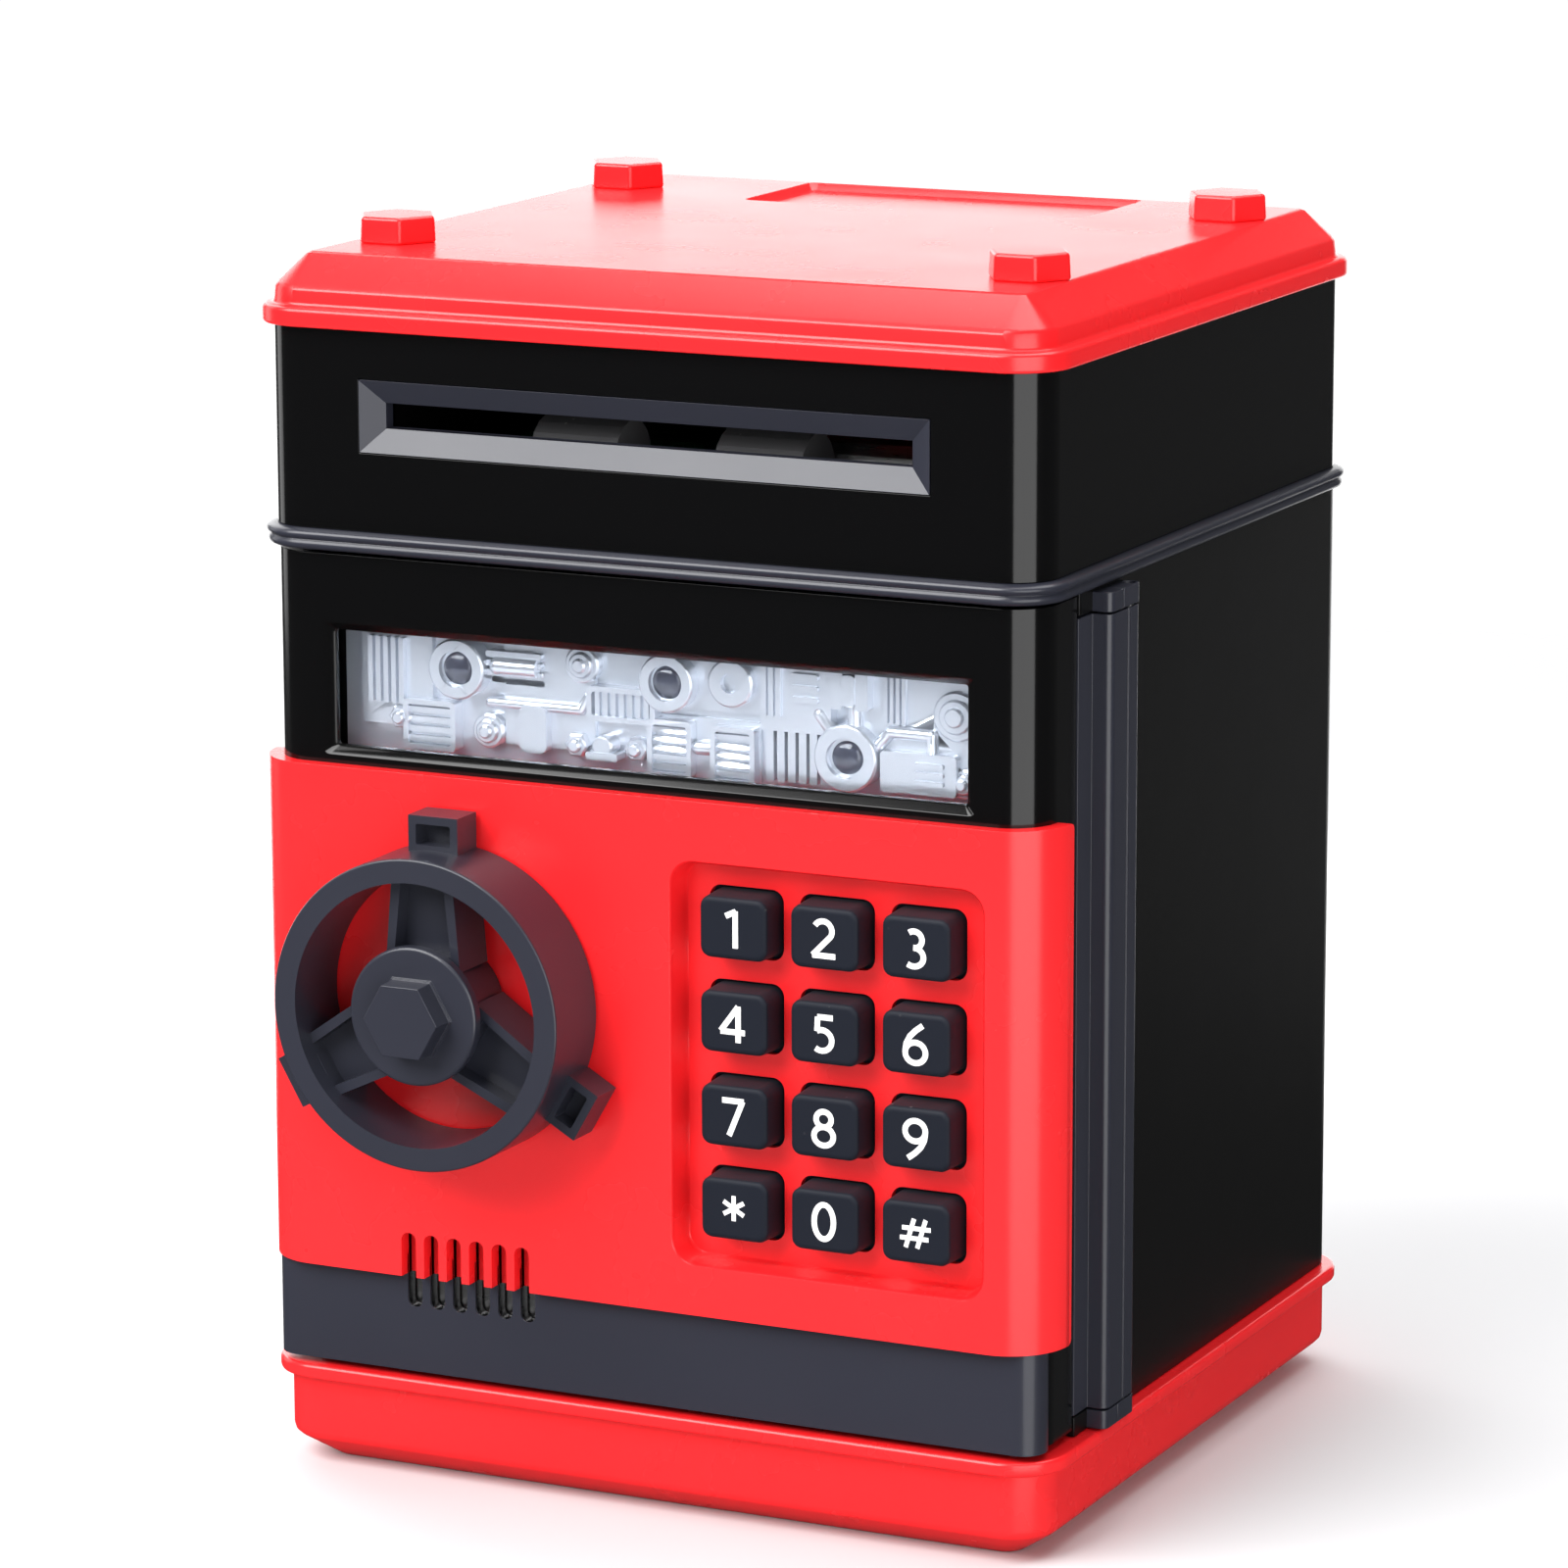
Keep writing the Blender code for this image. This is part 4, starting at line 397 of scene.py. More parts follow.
def moulded_group():
    """Roughness that drifts with the flow of the plastic, and the fine skin of the mould."""
    tree, held, out = group("moulded_skin", (("Roughness", 0.3), ("Drift", 0.08), ("Grain Scale", 900.0),
                                             ("Grain", 0.5)), ("Roughness", "Height"))
    flow = maths(tree, "SUBTRACT", noise(tree, 38.0, 4.0, 0.62), 0.5)
    shine = maths(tree, "MULTIPLY", flow, held.outputs["Drift"])
    fine = noise(tree, held.outputs["Grain Scale"], 2.0)
    tree.links.new(maths(tree, "ADD", held.outputs["Roughness"], shine), out.inputs["Roughness"])
    tree.links.new(maths(tree, "MULTIPLY", fine, held.outputs["Grain"]), out.inputs["Height"])
    return tree


def dust_group():
    """Specks and a thin film of dust that lie on faces turned upwards."""
    tree, held, out = group("settled_dust", (("Amount", 0.3), ("Speck Scale", 420.0)), ("Mask",))
    specks = add(tree, "ShaderNodeTexVoronoi", feature="F1")
    tree.links.new(add(tree, "ShaderNodeTexCoord").outputs["Object"], specks.inputs["Vector"])
    tree.links.new(held.outputs["Speck Scale"], specks.inputs["Scale"])
    dots = maths(tree, "LESS_THAN", specks.outputs["Distance"], 0.09)
    thin = maths(tree, "GREATER_THAN", noise(tree, 170.0, 2.0), 0.56)
    up = add(tree, "ShaderNodeSeparateXYZ")
    tree.links.new(add(tree, "ShaderNodeNewGeometry").outputs["Normal"], up.inputs[0])
    facing = maths(tree, "MAXIMUM", up.outputs["Z"], 0.12)
    both = maths(tree, "MULTIPLY", maths(tree, "MULTIPLY", dots, thin), facing)
    film = maths(tree, "MULTIPLY", maths(tree, "MULTIPLY", noise(tree, 60.0, 5.0), facing), 0.12)
    mask = maths(tree, "MULTIPLY", maths(tree, "ADD", both, film), held.outputs["Amount"])
    tree.links.new(mask, out.inputs["Mask"])
    return tree


def rub_group():
    """Fine straight rub marks, stretched along one axis, for steel and handled plastic."""
    tree, held, out = group("rub_marks", (("Scale", 120.0), ("Depth", 0.5)), ("Mask", "Height"))
    stretch = add(tree, "ShaderNodeMapping")
    stretch.inputs["Scale"].default_value = (1.0, 14.0, 14.0)
    tree.links.new(add(tree, "ShaderNodeTexCoord").outputs["Object"], stretch.inputs["Vector"])
    marks = noise(tree, held.outputs["Scale"], 4.0, 0.6, stretch.outputs["Vector"])
    tree.links.new(marks, out.inputs["Mask"])
    tree.links.new(maths(tree, "MULTIPLY", marks, held.outputs["Depth"]), out.inputs["Height"])
    return tree


def shared(name):
    makers = {"moulded_skin": moulded_group, "settled_dust": dust_group, "rub_marks": rub_group}
    return bpy.data.node_groups.get(name) or makers[name]()


def use(tree, name, **values):
    node = tree.nodes.new("ShaderNodeGroup")
    node.node_tree = shared(name)
    for label, value in values.items():
        node.inputs[label.replace("_", " ")].default_value = value
    return node


def mixed(tree, factor, first, second):
    node = add(tree, "ShaderNodeMix", data_type="RGBA")
    for socket, value in ((node.inputs[0], factor), (node.inputs[6], first), (node.inputs[7], second)):
        if isinstance(value, (int, float)):
            socket.default_value = value
        elif isinstance(value, (tuple, list)):
            socket.default_value = (*value, 1.0)
        else:
            tree.links.new(value, socket)
    return node.outputs[2]


# ---- finishes ------------------------------------------------------------------------------------
def started(name):
    material = bpy.data.materials.new(name)
    material.use_nodes = True
    tree = material.node_tree
    return material, tree, tree.nodes["Principled BSDF"]


def bumped(tree, shader, height, strength, distance):
    bump = add(tree, "ShaderNodeBump", Strength=strength, Distance=distance)
    tree.links.new(height, bump.inputs["Height"])
    tree.links.new(bump.outputs["Normal"], shader.inputs["Normal"])


def plastic(name, base, roughness, drift=0.08, grain=0.5, grain_scale=900.0, dust=0.3, specular=0.5,
            coat=0.0, lift=0.12, bump=0.12):
    """Moulded plastic: colour that drifts a little, mould skin and a trace of dust."""
    material, tree, shader = started(name)
    skin = use(tree, "moulded_skin", Roughness=roughness, Drift=drift, Grain_Scale=grain_scale, Grain=grain)
    settled = use(tree, "settled_dust", Amount=dust)
    deep = tuple(channel * (1.0 - lift) for channel in base)
    bright = tuple(min(1.0, channel * (1.0 + lift)) for channel in base)
    tone = mixed(tree, noise(tree, 24.0, 3.0), deep, bright)
    dusty = mixed(tree, settled.outputs["Mask"], tone, (0.32, 0.31, 0.3))
    tree.links.new(dusty, shader.inputs["Base Color"])
    tree.links.new(skin.outputs["Roughness"], shader.inputs["Roughness"])
    bumped(tree, shader, skin.outputs["Height"], bump, 0.02 * MM)
    shader.inputs["Specular IOR Level"].default_value = specular
    shader.inputs["Coat Weight"].default_value = coat
    shader.inputs["Coat Roughness"].default_value = 0.08
    return material


def red_gloss():
    return plastic("red_moulded_gloss", tuple(colours().red), 0.27, drift=0.06, dust=0.04, specular=0.5,
                   lift=0.03)


def black_gloss():
    return plastic("black_moulded_gloss", tuple(colours().black), 0.13, drift=0.04, dust=0.03, specular=0.34,
                   bump=0.06)


def black_satin():
    return plastic("black_moulded_satin", tuple(colours().black), 0.36, drift=0.08, grain=0.6, dust=0.03,
                   specular=0.25)


def slate_satin():
    return plastic("slate_moulded_satin", tuple(colours().slate), 0.38, drift=0.1, grain=0.6, dust=0.03,
                   specular=0.45, coat=0.2)


def key_rubber():
    material = plastic("key_silicone", tuple(colours().rubber), 0.62, drift=0.14, grain=1.0,
                       grain_scale=2600.0, dust=0.25, specular=0.22, bump=0.35)
    material.node_tree.nodes["Principled BSDF"].inputs["Sheen Weight"].default_value = 0.02
    return material


def white_ink():
    return plastic("printed_ink", tuple(colours().ink), 0.55, grain_scale=3000.0, dust=0.05, lift=0.02)


def silver_paint():
    material = plastic("silver_paint", tuple(colours().silver), 0.24, drift=0.12, grain=0.8,
                       grain_scale=3600.0, dust=0.0, specular=0.6, lift=0.05, bump=0.3)
    material.node_tree.nodes["Principled BSDF"].inputs["Metallic"].default_value = 0.55
    return material


def clear_lens():
    material, tree, shader = started("clear_lens")
    skin = use(tree, "moulded_skin", Roughness=0.03, Drift=0.03, Grain_Scale=500.0, Grain=0.3)
    tree.links.new(skin.outputs["Roughness"], shader.inputs["Roughness"])
    bumped(tree, shader, skin.outputs["Height"], 0.04, 0.02 * MM)
    shader.inputs["Base Color"].default_value = (0.93, 0.96, 1.0, 1.0)
    shader.inputs["Transmission Weight"].default_value = 1.0
    shader.inputs["IOR"].default_value = 1.2
    return material


def lens_highlight_edge():
    # An opaque pale blue rim: a painted highlight for the bright light caught along the clear lens's edge.
    return plastic("lens_painted_highlight_edge", (0.34, 0.45, 0.72), 0.22, dust=0.0, specular=0.6, lift=0.1)


def smoked_dome():
    material, tree, shader = started("smoked_dome")
    tone = mixed(tree, noise(tree, 300.0, 2.0), (0.06, 0.065, 0.09), (0.11, 0.115, 0.15))
    tree.links.new(tone, shader.inputs["Base Color"])
    skin = use(tree, "moulded_skin", Roughness=0.1, Drift=0.04)
    tree.links.new(skin.outputs["Roughness"], shader.inputs["Roughness"])
    shader.inputs["Coat Weight"].default_value = 0.6
    return material


def steel():
    material, tree, shader = started("plain_steel")
    marks = use(tree, "rub_marks", Scale=160.0, Depth=0.6)
    tree.links.new(mixed(tree, marks.outputs["Mask"], (0.4, 0.4, 0.41), (0.68, 0.68, 0.69)),
                   shader.inputs["Base Color"])
    tree.links.new(maths(tree, "ADD", maths(tree, "MULTIPLY", marks.outputs["Mask"], 0.2), 0.2),
                   shader.inputs["Roughness"])
    bumped(tree, shader, marks.outputs["Height"], 0.15, 0.02 * MM)
    shader.inputs["Metallic"].default_value = 1.0
    return material


def board_green():
    material, tree, shader = started("circuit_board")
    grid = add(tree, "ShaderNodeTexBrick", Scale=260.0)
    tree.links.new(add(tree, "ShaderNodeTexCoord").outputs["Object"], grid.inputs["Vector"])
    grid.inputs["Color1"].default_value = (0.01, 0.11, 0.035, 1.0)
    grid.inputs["Color2"].default_value = (0.014, 0.16, 0.05, 1.0)
    grid.inputs["Mortar"].default_value = (0.03, 0.24, 0.08, 1.0)
    tree.links.new(grid.outputs["Color"], shader.inputs["Base Color"])
    skin = use(tree, "moulded_skin", Roughness=0.35)
    tree.links.new(skin.outputs["Roughness"], shader.inputs["Roughness"])
    bumped(tree, shader, grid.outputs["Fac"], 0.1, 0.05 * MM)
    return material


def cell_jacket():
    return plastic("cell_jacket", (0.03, 0.03, 0.035), 0.3, dust=0.1, specular=0.6)


def white_acetal():
    return plastic("white_acetal", (0.62, 0.62, 0.6), 0.42, drift=0.12, dust=0.1, lift=0.05)


def roller_rubber():
    return plastic("roller_rubber", (0.09, 0.09, 0.095), 0.75, grain=1.0, grain_scale=1800.0, dust=0.6,
                   specular=0.3, bump=0.5)


def lead_jacket():
    return plastic("lead_jacket", (0.32, 0.01, 0.01), 0.45, dust=0.1)


FINISHES = {
    "red_plastic": red_gloss, "black_plastic": black_gloss, "black_satin": black_satin,
    "slate_plastic": slate_satin, "key_rubber": key_rubber, "ink": white_ink,
    # The lens edge finish is a painted highlight, not a colour that the lens has.
    "clear_plastic": clear_lens, "lens_highlight_edge": lens_highlight_edge, "silver_plastic": silver_paint,
    "dome": smoked_dome, "steel": steel,
    "board_green": board_green, "cell_jacket": cell_jacket, "white_plastic": white_acetal,
    "roller_rubber": roller_rubber, "lead_jacket": lead_jacket,
}
MADE = {}


def finish(name):
    if name not in MADE:
        MADE[name] = FINISHES[name]()
    return MADE[name]


# ---- operators -----------------------------------------------------------------------------------
class TOYSAFE_OT_lid(bpy.types.Operator):
    """The red lid with its mitred bevel, coin dish and slot"""
    bl_idname = "toysafe.lid"
    bl_label = "Lid"

    def execute(self, context):
        size = sizes()
        rim_out = LID[1].x - MID.x - SIDE
        rim_height, side_height, rim_round = 2.9 * MM, 2.7 * MM, 0.7 * MM
        bottom = HOUSING[1].z + GAP
        top = LID[1].z
        rim_top = bottom + rim_height
        side_top = rim_top + side_height
        in_x, in_y = SIDE - size.lid_bevel_x, DEPTH - size.lid_bevel_y
        shape = loft([
            body_ring(bottom, rim_out - GAP), body_ring(bottom + GAP, rim_out),
            body_ring(rim_top - rim_round, rim_out),
            body_ring(rim_top - rim_round * 0.3, rim_out - rim_round * 0.3),
            body_ring(rim_top, rim_out - rim_round),
            body_ring(rim_top + 0.05 * MM, 0.25 * MM), body_ring(rim_top + 0.35 * MM, -0.05 * MM),
            body_ring(side_top - 0.25 * MM, -0.25 * MM),
            (side_top + 0.45 * MM, SIDE - 0.85 * MM, DEPTH - 0.95 * MM, size.corner_radius - 1.2 * MM),
            (top - 0.3 * MM, in_x + 0.35 * MM, in_y + 0.4 * MM, 1.1 * MM),
            (top, in_x - 0.35 * MM, in_y - 0.4 * MM, 0.6 * MM)])
        inner = size.wall + 1.8 * MM
        hollow = loft([body_ring(bottom - OVERCUT, -inner), body_ring(side_top - size.wall, -inner),
                       (top - size.wall, in_x - size.wall, in_y - size.wall, 1 * MM)])
        slot_x, slot_y = (CHUTE[0].x + CHUTE[1].x) / 2, (CHUTE[0].y + CHUTE[1].y) / 2
        dish_front, dish_back = slot_y - 5.5 * MM, MID.y + in_y + 0.6 * MM
        dish_x, dish_y = 28.9 * MM, (dish_back - dish_front) / 2
        dish = loft([
            (top - 1.15 * MM, dish_x - 1.3 * MM, dish_y - 1.9 * MM, 0.6 * MM),
            (top - 1.0 * MM, dish_x - 0.8 * MM, dish_y - 1.4 * MM, 0.9 * MM),
            (top + 0.02 * MM, dish_x, dish_y - 0.4 * MM, 1.4 * MM),
            (top + OVERCUT, dish_x + 0.9 * MM, dish_y + 0.6 * MM, 2 * MM)],
            centre=(slot_x, (dish_front + dish_back) / 2 - 1.0 * MM), steps=6)
        slot_half_x, slot_half_y = size.coin_slot_length / 2, size.coin_slot_width / 2
        slot = box((slot_x - slot_half_x, slot_y - slot_half_y, top - 9 * MM),
                   (slot_x + slot_half_x, slot_y + slot_half_y, top + OVERCUT),
                   size.coin_slot_width * 0.48, "Z", None, 8)
        skirt_ring = (SIDE - size.wall - GAP, DEPTH - size.wall - GAP, 4.5 * MM)
        skirt = loft([(LID[0].z, *skirt_ring), (rim_top - MM, *skirt_ring)])
        lid = worked(shape, ("join", skirt), ("cut", hollow), ("cut", dish), ("cut", slot))
        piece("lid", lid, finish("red_plastic"), "root", ["top_lid"],
              soft=0.22 * MM, limit=38)
        lining = worked(
            box((CHUTE[0].x + 0.4 * MM, CHUTE[0].y + 0.5 * MM, CHUTE[1].z - 14 * MM),
                (CHUTE[1].x - 0.4 * MM, CHUTE[1].y - 0.5 * MM, CHUTE[1].z - 0.1 * MM)),
            ("cut", box((slot_x - slot_half_x - 0.6 * MM, slot_y - 2.2 * MM, CHUTE[0].z),
                        (slot_x + slot_half_x + 0.6 * MM, slot_y + 2.2 * MM, top))))
        piece("slot_lining", lining, finish("red_plastic"), "root", soft=0.0)
        return {"FINISHED"}


class TOYSAFE_OT_lid_bolts(bpy.types.Operator):
    """The four hexagonal bolt heads on the lid"""
    bl_idname = "toysafe.lid_bolts"
    bl_label = "Lid bolts"

    def execute(self, context):
        for node in LID_BOLTS:
            low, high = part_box(node)
            middle = (low + high) / 2
            radius = (high.x - low.x) / 2
            foot = LID[1].z - 0.05 * MM
            head = bmesh.new()
            bmesh.ops.create_cone(head, cap_ends=True, segments=6, radius1=radius, radius2=radius * 0.965,
                                  depth=high.z - foot,
                                  matrix=Matrix.Translation((middle.x, middle.y, (high.z + foot) / 2)))
            corner_first = abs(head.verts[:][0].co.y - middle.y) < MM
            spun(head, (middle.x, middle.y, 0), 0 if corner_first else 30, "Z")
            name = node.replace("lid_bolt", "bolt_head")
            piece(name, head, finish("red_plastic"), "root", [node], soft=0.5 * MM,
                  segments=4)
        return {"FINISHED"}


class TOYSAFE_OT_housing(bpy.types.Operator):
    """The glossy upper housing, its banknote bezel and the ridged belt under it"""
    bl_idname = "toysafe.housing"
    bl_label = "Housing, bezel and belt"

    def execute(self, context):
        size = sizes()
        low, high = BELT[1].z + 0.05 * MM, HOUSING[1].z + 0.2 * MM
        slot = (HOUSING[0].x + HOUSING[1].x) / 2, (BEZEL[0].z + BEZEL[1].z) / 2
        half_x = (BEZEL[1].x - BEZEL[0].x) / 2 - 2.4 * MM
        half_z = (BEZEL[1].z - BEZEL[0].z) / 2 - 2.4 * MM
        shape = loft([body_ring(low, 0), body_ring(high, 0)])
        inside = loft([body_ring(low - MM, -size.wall), body_ring(high + MM, -size.wall)])
        opening = plate(*slot, half_x + 0.12 * MM, half_z + 0.12 * MM, FRONT - MM, FRONT + 5 * MM)
        shell = worked(shape, ("cut", inside), ("cut", opening))
        piece("housing_shell", shell, finish("black_plastic"), "root",
              ["upper_housing"], soft=0.12 * MM)
        self.bezel(slot, half_x, half_z)
        profile = ((0.0, 0.0), (0.12, 0.75), (0.4, 1.2), (0.8, 1.36), (1.2, 1.3), (1.42, 1.05),
                   (1.62, 1.0), (1.82, 1.35), (2.2, 1.62), (2.6, 1.6), (2.95, 1.25), (3.15, 0.6),
                   (3.2, 0.0))
        rooted = -3.5 * MM
        rings = [body_ring(BELT[0].z + up * MM, out * MM) for up, out in profile]
        rings += [body_ring(BELT[1].z, rooted), body_ring(BELT[0].z, rooted)]
        piece("belt", loft(rings, closed=True), finish("slate_plastic"), "root",
              ["belt_moulding"], soft=0.0, smooth=50)
        return {"FINISHED"}

    def bezel(self, slot, half_x, half_z):
        slope, deep = 3.5 * MM, 2.0 * MM
        corner, mitre, edge = 0.25 * MM, 0.05 * MM, 0.03 * MM
        flange, flange_t = 2.2 * MM, 1.6 * MM
        front = FRONT - 0.12 * MM
        rear = BEZEL[1].y
        throat_x, throat_z = half_x - slope, half_z - slope
        frame_shape = loft([(front, half_x, half_z, corner), (rear - flange_t, half_x, half_z, corner)],
                           3, slot, "Y")
        back = plate(*slot, half_x + flange, half_z + flange, rear - flange_t, rear)
        funnel = loft([(front - 0.01 * MM, half_x - edge, half_z - edge, mitre),
                       (front + deep, throat_x, throat_z, mitre)], 1, slot, "Y")
        throat = plate(*slot, throat_x, throat_z, front, rear + OVERCUT)
        shape = worked(frame_shape, ("join", back), ("cut", funnel), ("cut", throat))
        piece("note_frame", shape, finish("slate_plastic"), "root", ["note_bezel"],
              soft=0.1 * MM, segments=2)


class TOYSAFE_OT_body(bpy.types.Operator):
    """The satin lower body with its hinge knuckles and lock strike, and the steel hinge pin"""
    bl_idname = "toysafe.body"
    bl_label = "Lower body"

    def execute(self, context):
        size = sizes()
        z0, z1 = WALLS[0].z - 0.2 * MM, WALLS[1].z + 0.2 * MM
        mouth = WALLS[0].y

        def rear(middle):
            return middle.y > MID.y

        left, right = MID.x - SIDE, MID.x + SIDE
        shape = box((left, mouth, z0), (right, BACK, z1), size.corner_radius, "Z", rear)
        room = box((left + size.wall, mouth - 5 * OVERCUT, z0 - OVERCUT),
                   (right - size.wall, BACK - size.wall, z1 + OVERCUT),
                   size.corner_radius - size.wall, "Z", rear)
        leaf_low, leaf_high = LEAF[0].z - GAP, LEAF[1].z + GAP
        web = box((right - 2 * size.wall, mouth - OVERCUT, leaf_low),
                  (right + OVERCUT, HINGE.y - 6.2 * MM, leaf_high))
        steps = [("cut", room), ("cut", web)]

        def pin_hole():
            return rod("Z", HINGE, 1.0 * MM, z0 - MM, z1 + MM, 20)

        knuckle_y0, knuckle_y1 = HINGE.y - 9.4 * MM, HINGE.y + 1.4 * MM
        for low, high in ((WALLS[0].z, leaf_low), (leaf_high, WALLS[1].z - GAP)):
            knuckle = box((right - 0.4 * MM, knuckle_y0, low), (WALLS[1].x, knuckle_y1, high),
                          1.1 * MM, "Z", lambda middle: middle.x > right, 6)
            seam = box((right + 0.6 * MM, HINGE.y - 5.2 * MM, low - MM),
                       (WALLS[1].x + MM, HINGE.y - 4.95 * MM, high + MM))
            name = "knuckle_lower" if low == WALLS[0].z else "knuckle_upper"
            barrel = worked(knuckle, ("cut", seam), ("cut", pin_hole()))
            piece(name, barrel, finish("slate_plastic"), "root", soft=0.2 * MM)
        strike = self.strike()
        steps.append(("join", strike))
        steps.append(("cut", pin_hole()))
        piece("body_walls", worked(shape, *steps), finish("black_satin"), "root",
              ["lower_body"], soft=0.2 * MM)
        pin_radius, pin_tip, taper = 0.8 * MM, 0.6 * MM, 0.2 * MM
        pin = turned([(PIN[0].z, pin_tip), (PIN[0].z + taper, pin_radius),
                      (PIN[1].z - taper, pin_radius), (PIN[1].z, pin_tip)], HINGE, "Z", 24)
        piece("hinge_rod", pin, finish("steel"), "root", ["hinge_pin"], soft=0.0)
        return {"FINISHED"}

    def strike(self):
        low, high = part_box("latch_bolt")
        left = MID.x - SIDE
        middle = high.z - 2.9 * MM
        return box((left + MM, low.y - 1.3 * MM, middle - 7.5 * MM),
                   (left + 6.7 * MM, low.y - 0.3 * MM, middle + 7.5 * MM), 0.8 * MM, "Y",
                   lambda at: at.x > left + 4 * MM, 4)


class TOYSAFE_OT_base(bpy.types.Operator):
    """The red base, with its flange, chamfered foot and battery cover underneath"""
    bl_idname = "toysafe.base"
    bl_label = "Base"

    def execute(self, context):
        size = sizes()
        half_x, half_y = SIDE + 0.35 * MM, DEPTH - 0.5 * MM
        radius, top, out = size.corner_radius, TUB[1].z, 1.88 * MM
        flange = top - 2.25 * MM

        def ring(level, grow, corner=0.0):
            return level, half_x + grow, half_y + grow, radius + (corner or grow)

        shape = loft([
            ring(0.0, -6.2 * MM, -4.0 * MM), ring(0.25 * MM, -5.75 * MM, -3.7 * MM),
            ring(3.7 * MM, -0.75 * MM, -0.3 * MM), ring(4.3 * MM, -0.2 * MM, -0.05 * MM),
            ring(5.2 * MM, 0.0),
            ring(flange - 0.35 * MM, 0.0), ring(flange - 0.05 * MM, 0.35 * MM),
            ring(flange, out - 0.5 * MM), ring(flange + 0.15 * MM, out - 0.15 * MM),
            ring(flange + 0.5 * MM, out), ring(top - 0.6 * MM, out), ring(top - 0.18 * MM, out - 0.18 * MM),
            ring(top, out - 0.6 * MM)])
        bay = box((COVER[0].x - GAP, COVER[0].y - GAP, -OVERCUT),
                  (COVER[1].x + GAP, COVER[1].y + GAP, top + OVERCUT))
        well_x, well_y, well_radius, well_depth = 47 * MM, 44 * MM, 3.1 * MM, 2.2 * MM
        screws = [(MID.x + sx * well_x, MID.y + sy * well_y, 0) for sx in (-1, 1) for sy in (-1, 1)]
        wells = [rod("Z", place, well_radius, -OVERCUT, well_depth, 32) for place in screws]
        piece("base_tub", worked(shape, ("cut", bay), ("cut", merged(wells))), finish("red_plastic"),
              "root", ["base"], soft=0.2 * MM, limit=45)
        for number, place in enumerate(screws):
            screw_head(f"base_screw_{number + 1}", place, 1.3 * MM, well_depth, 2.7 * MM, "root")
        self.cover()
        return {"FINISHED"}

    def cover(self):
        low, high = COVER
        middle = (low + high) / 2
        screw = (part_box("battery_screw")[0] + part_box("battery_screw")[1]) / 2
        shape = box(low, (high.x, high.y, high.z), 1.0 * MM, "Z", None, 4)
        half_grip = 9 * MM
        grips = [box((middle.x - half_grip, high.y - (6 + 2.2 * row) * MM, low.z - OVERCUT),
                     (middle.x + half_grip, high.y - (5 + 2.2 * row) * MM, low.z + 0.4 * MM))
                 for row in range(5)]
        panel = worked(box((low.x + 3 * MM, low.y + 9 * MM, low.z - MM),
                           (high.x - 3 * MM, high.y - 18 * MM, low.z + 0.35 * MM), 2 * MM, "Z", None, 6))
        well = rod("Z", screw, 2.3 * MM, low.z - MM, high.z + MM, 32)
        piece("battery_lid", worked(shape, ("cut", merged(grips)), ("cut", panel), ("cut", well)),
              finish("red_plastic"), "root", ["battery_cover"], soft=0.15 * MM)
        screw_head("battery_lid_screw", screw, low.z + 0.3 * MM, high.z - 0.1 * MM, 1.9 * MM, "root",
                   ["battery_screw"])


def screw_head(name, place, low, high, radius, body, nodes=(), axis="Z", towards=-1):
    """A pan head with a cross recess, seen from its low side, or from its high side with towards = 1."""
    outer, inner = (low, high) if towards < 0 else (high, low)
    drop = (inner - outer) * 0.35
    rings = [(outer, radius * 0.55), (outer + drop * 0.3, radius * 0.85), (outer + drop, radius),
             (inner, radius)]
    head = turned(rings, place, axis, 40)
    bars = []
    for turn in (0, 90):
        reach, half = radius * 0.55, radius * 0.13
        middle = Vector(place)
        middle[AXES[axis]] = outer
        spread = Vector((reach, reach, reach))
        spread[(AXES[axis] + 1) % 3] = half
        spread[AXES[axis]] = abs(inner - outer) * 0.5
        bars.append(("cut", spun(box(middle - spread, middle + spread), middle, turn, axis)))
    return piece(name, worked(head, *bars), finish("steel"), body, nodes, soft=0.0)


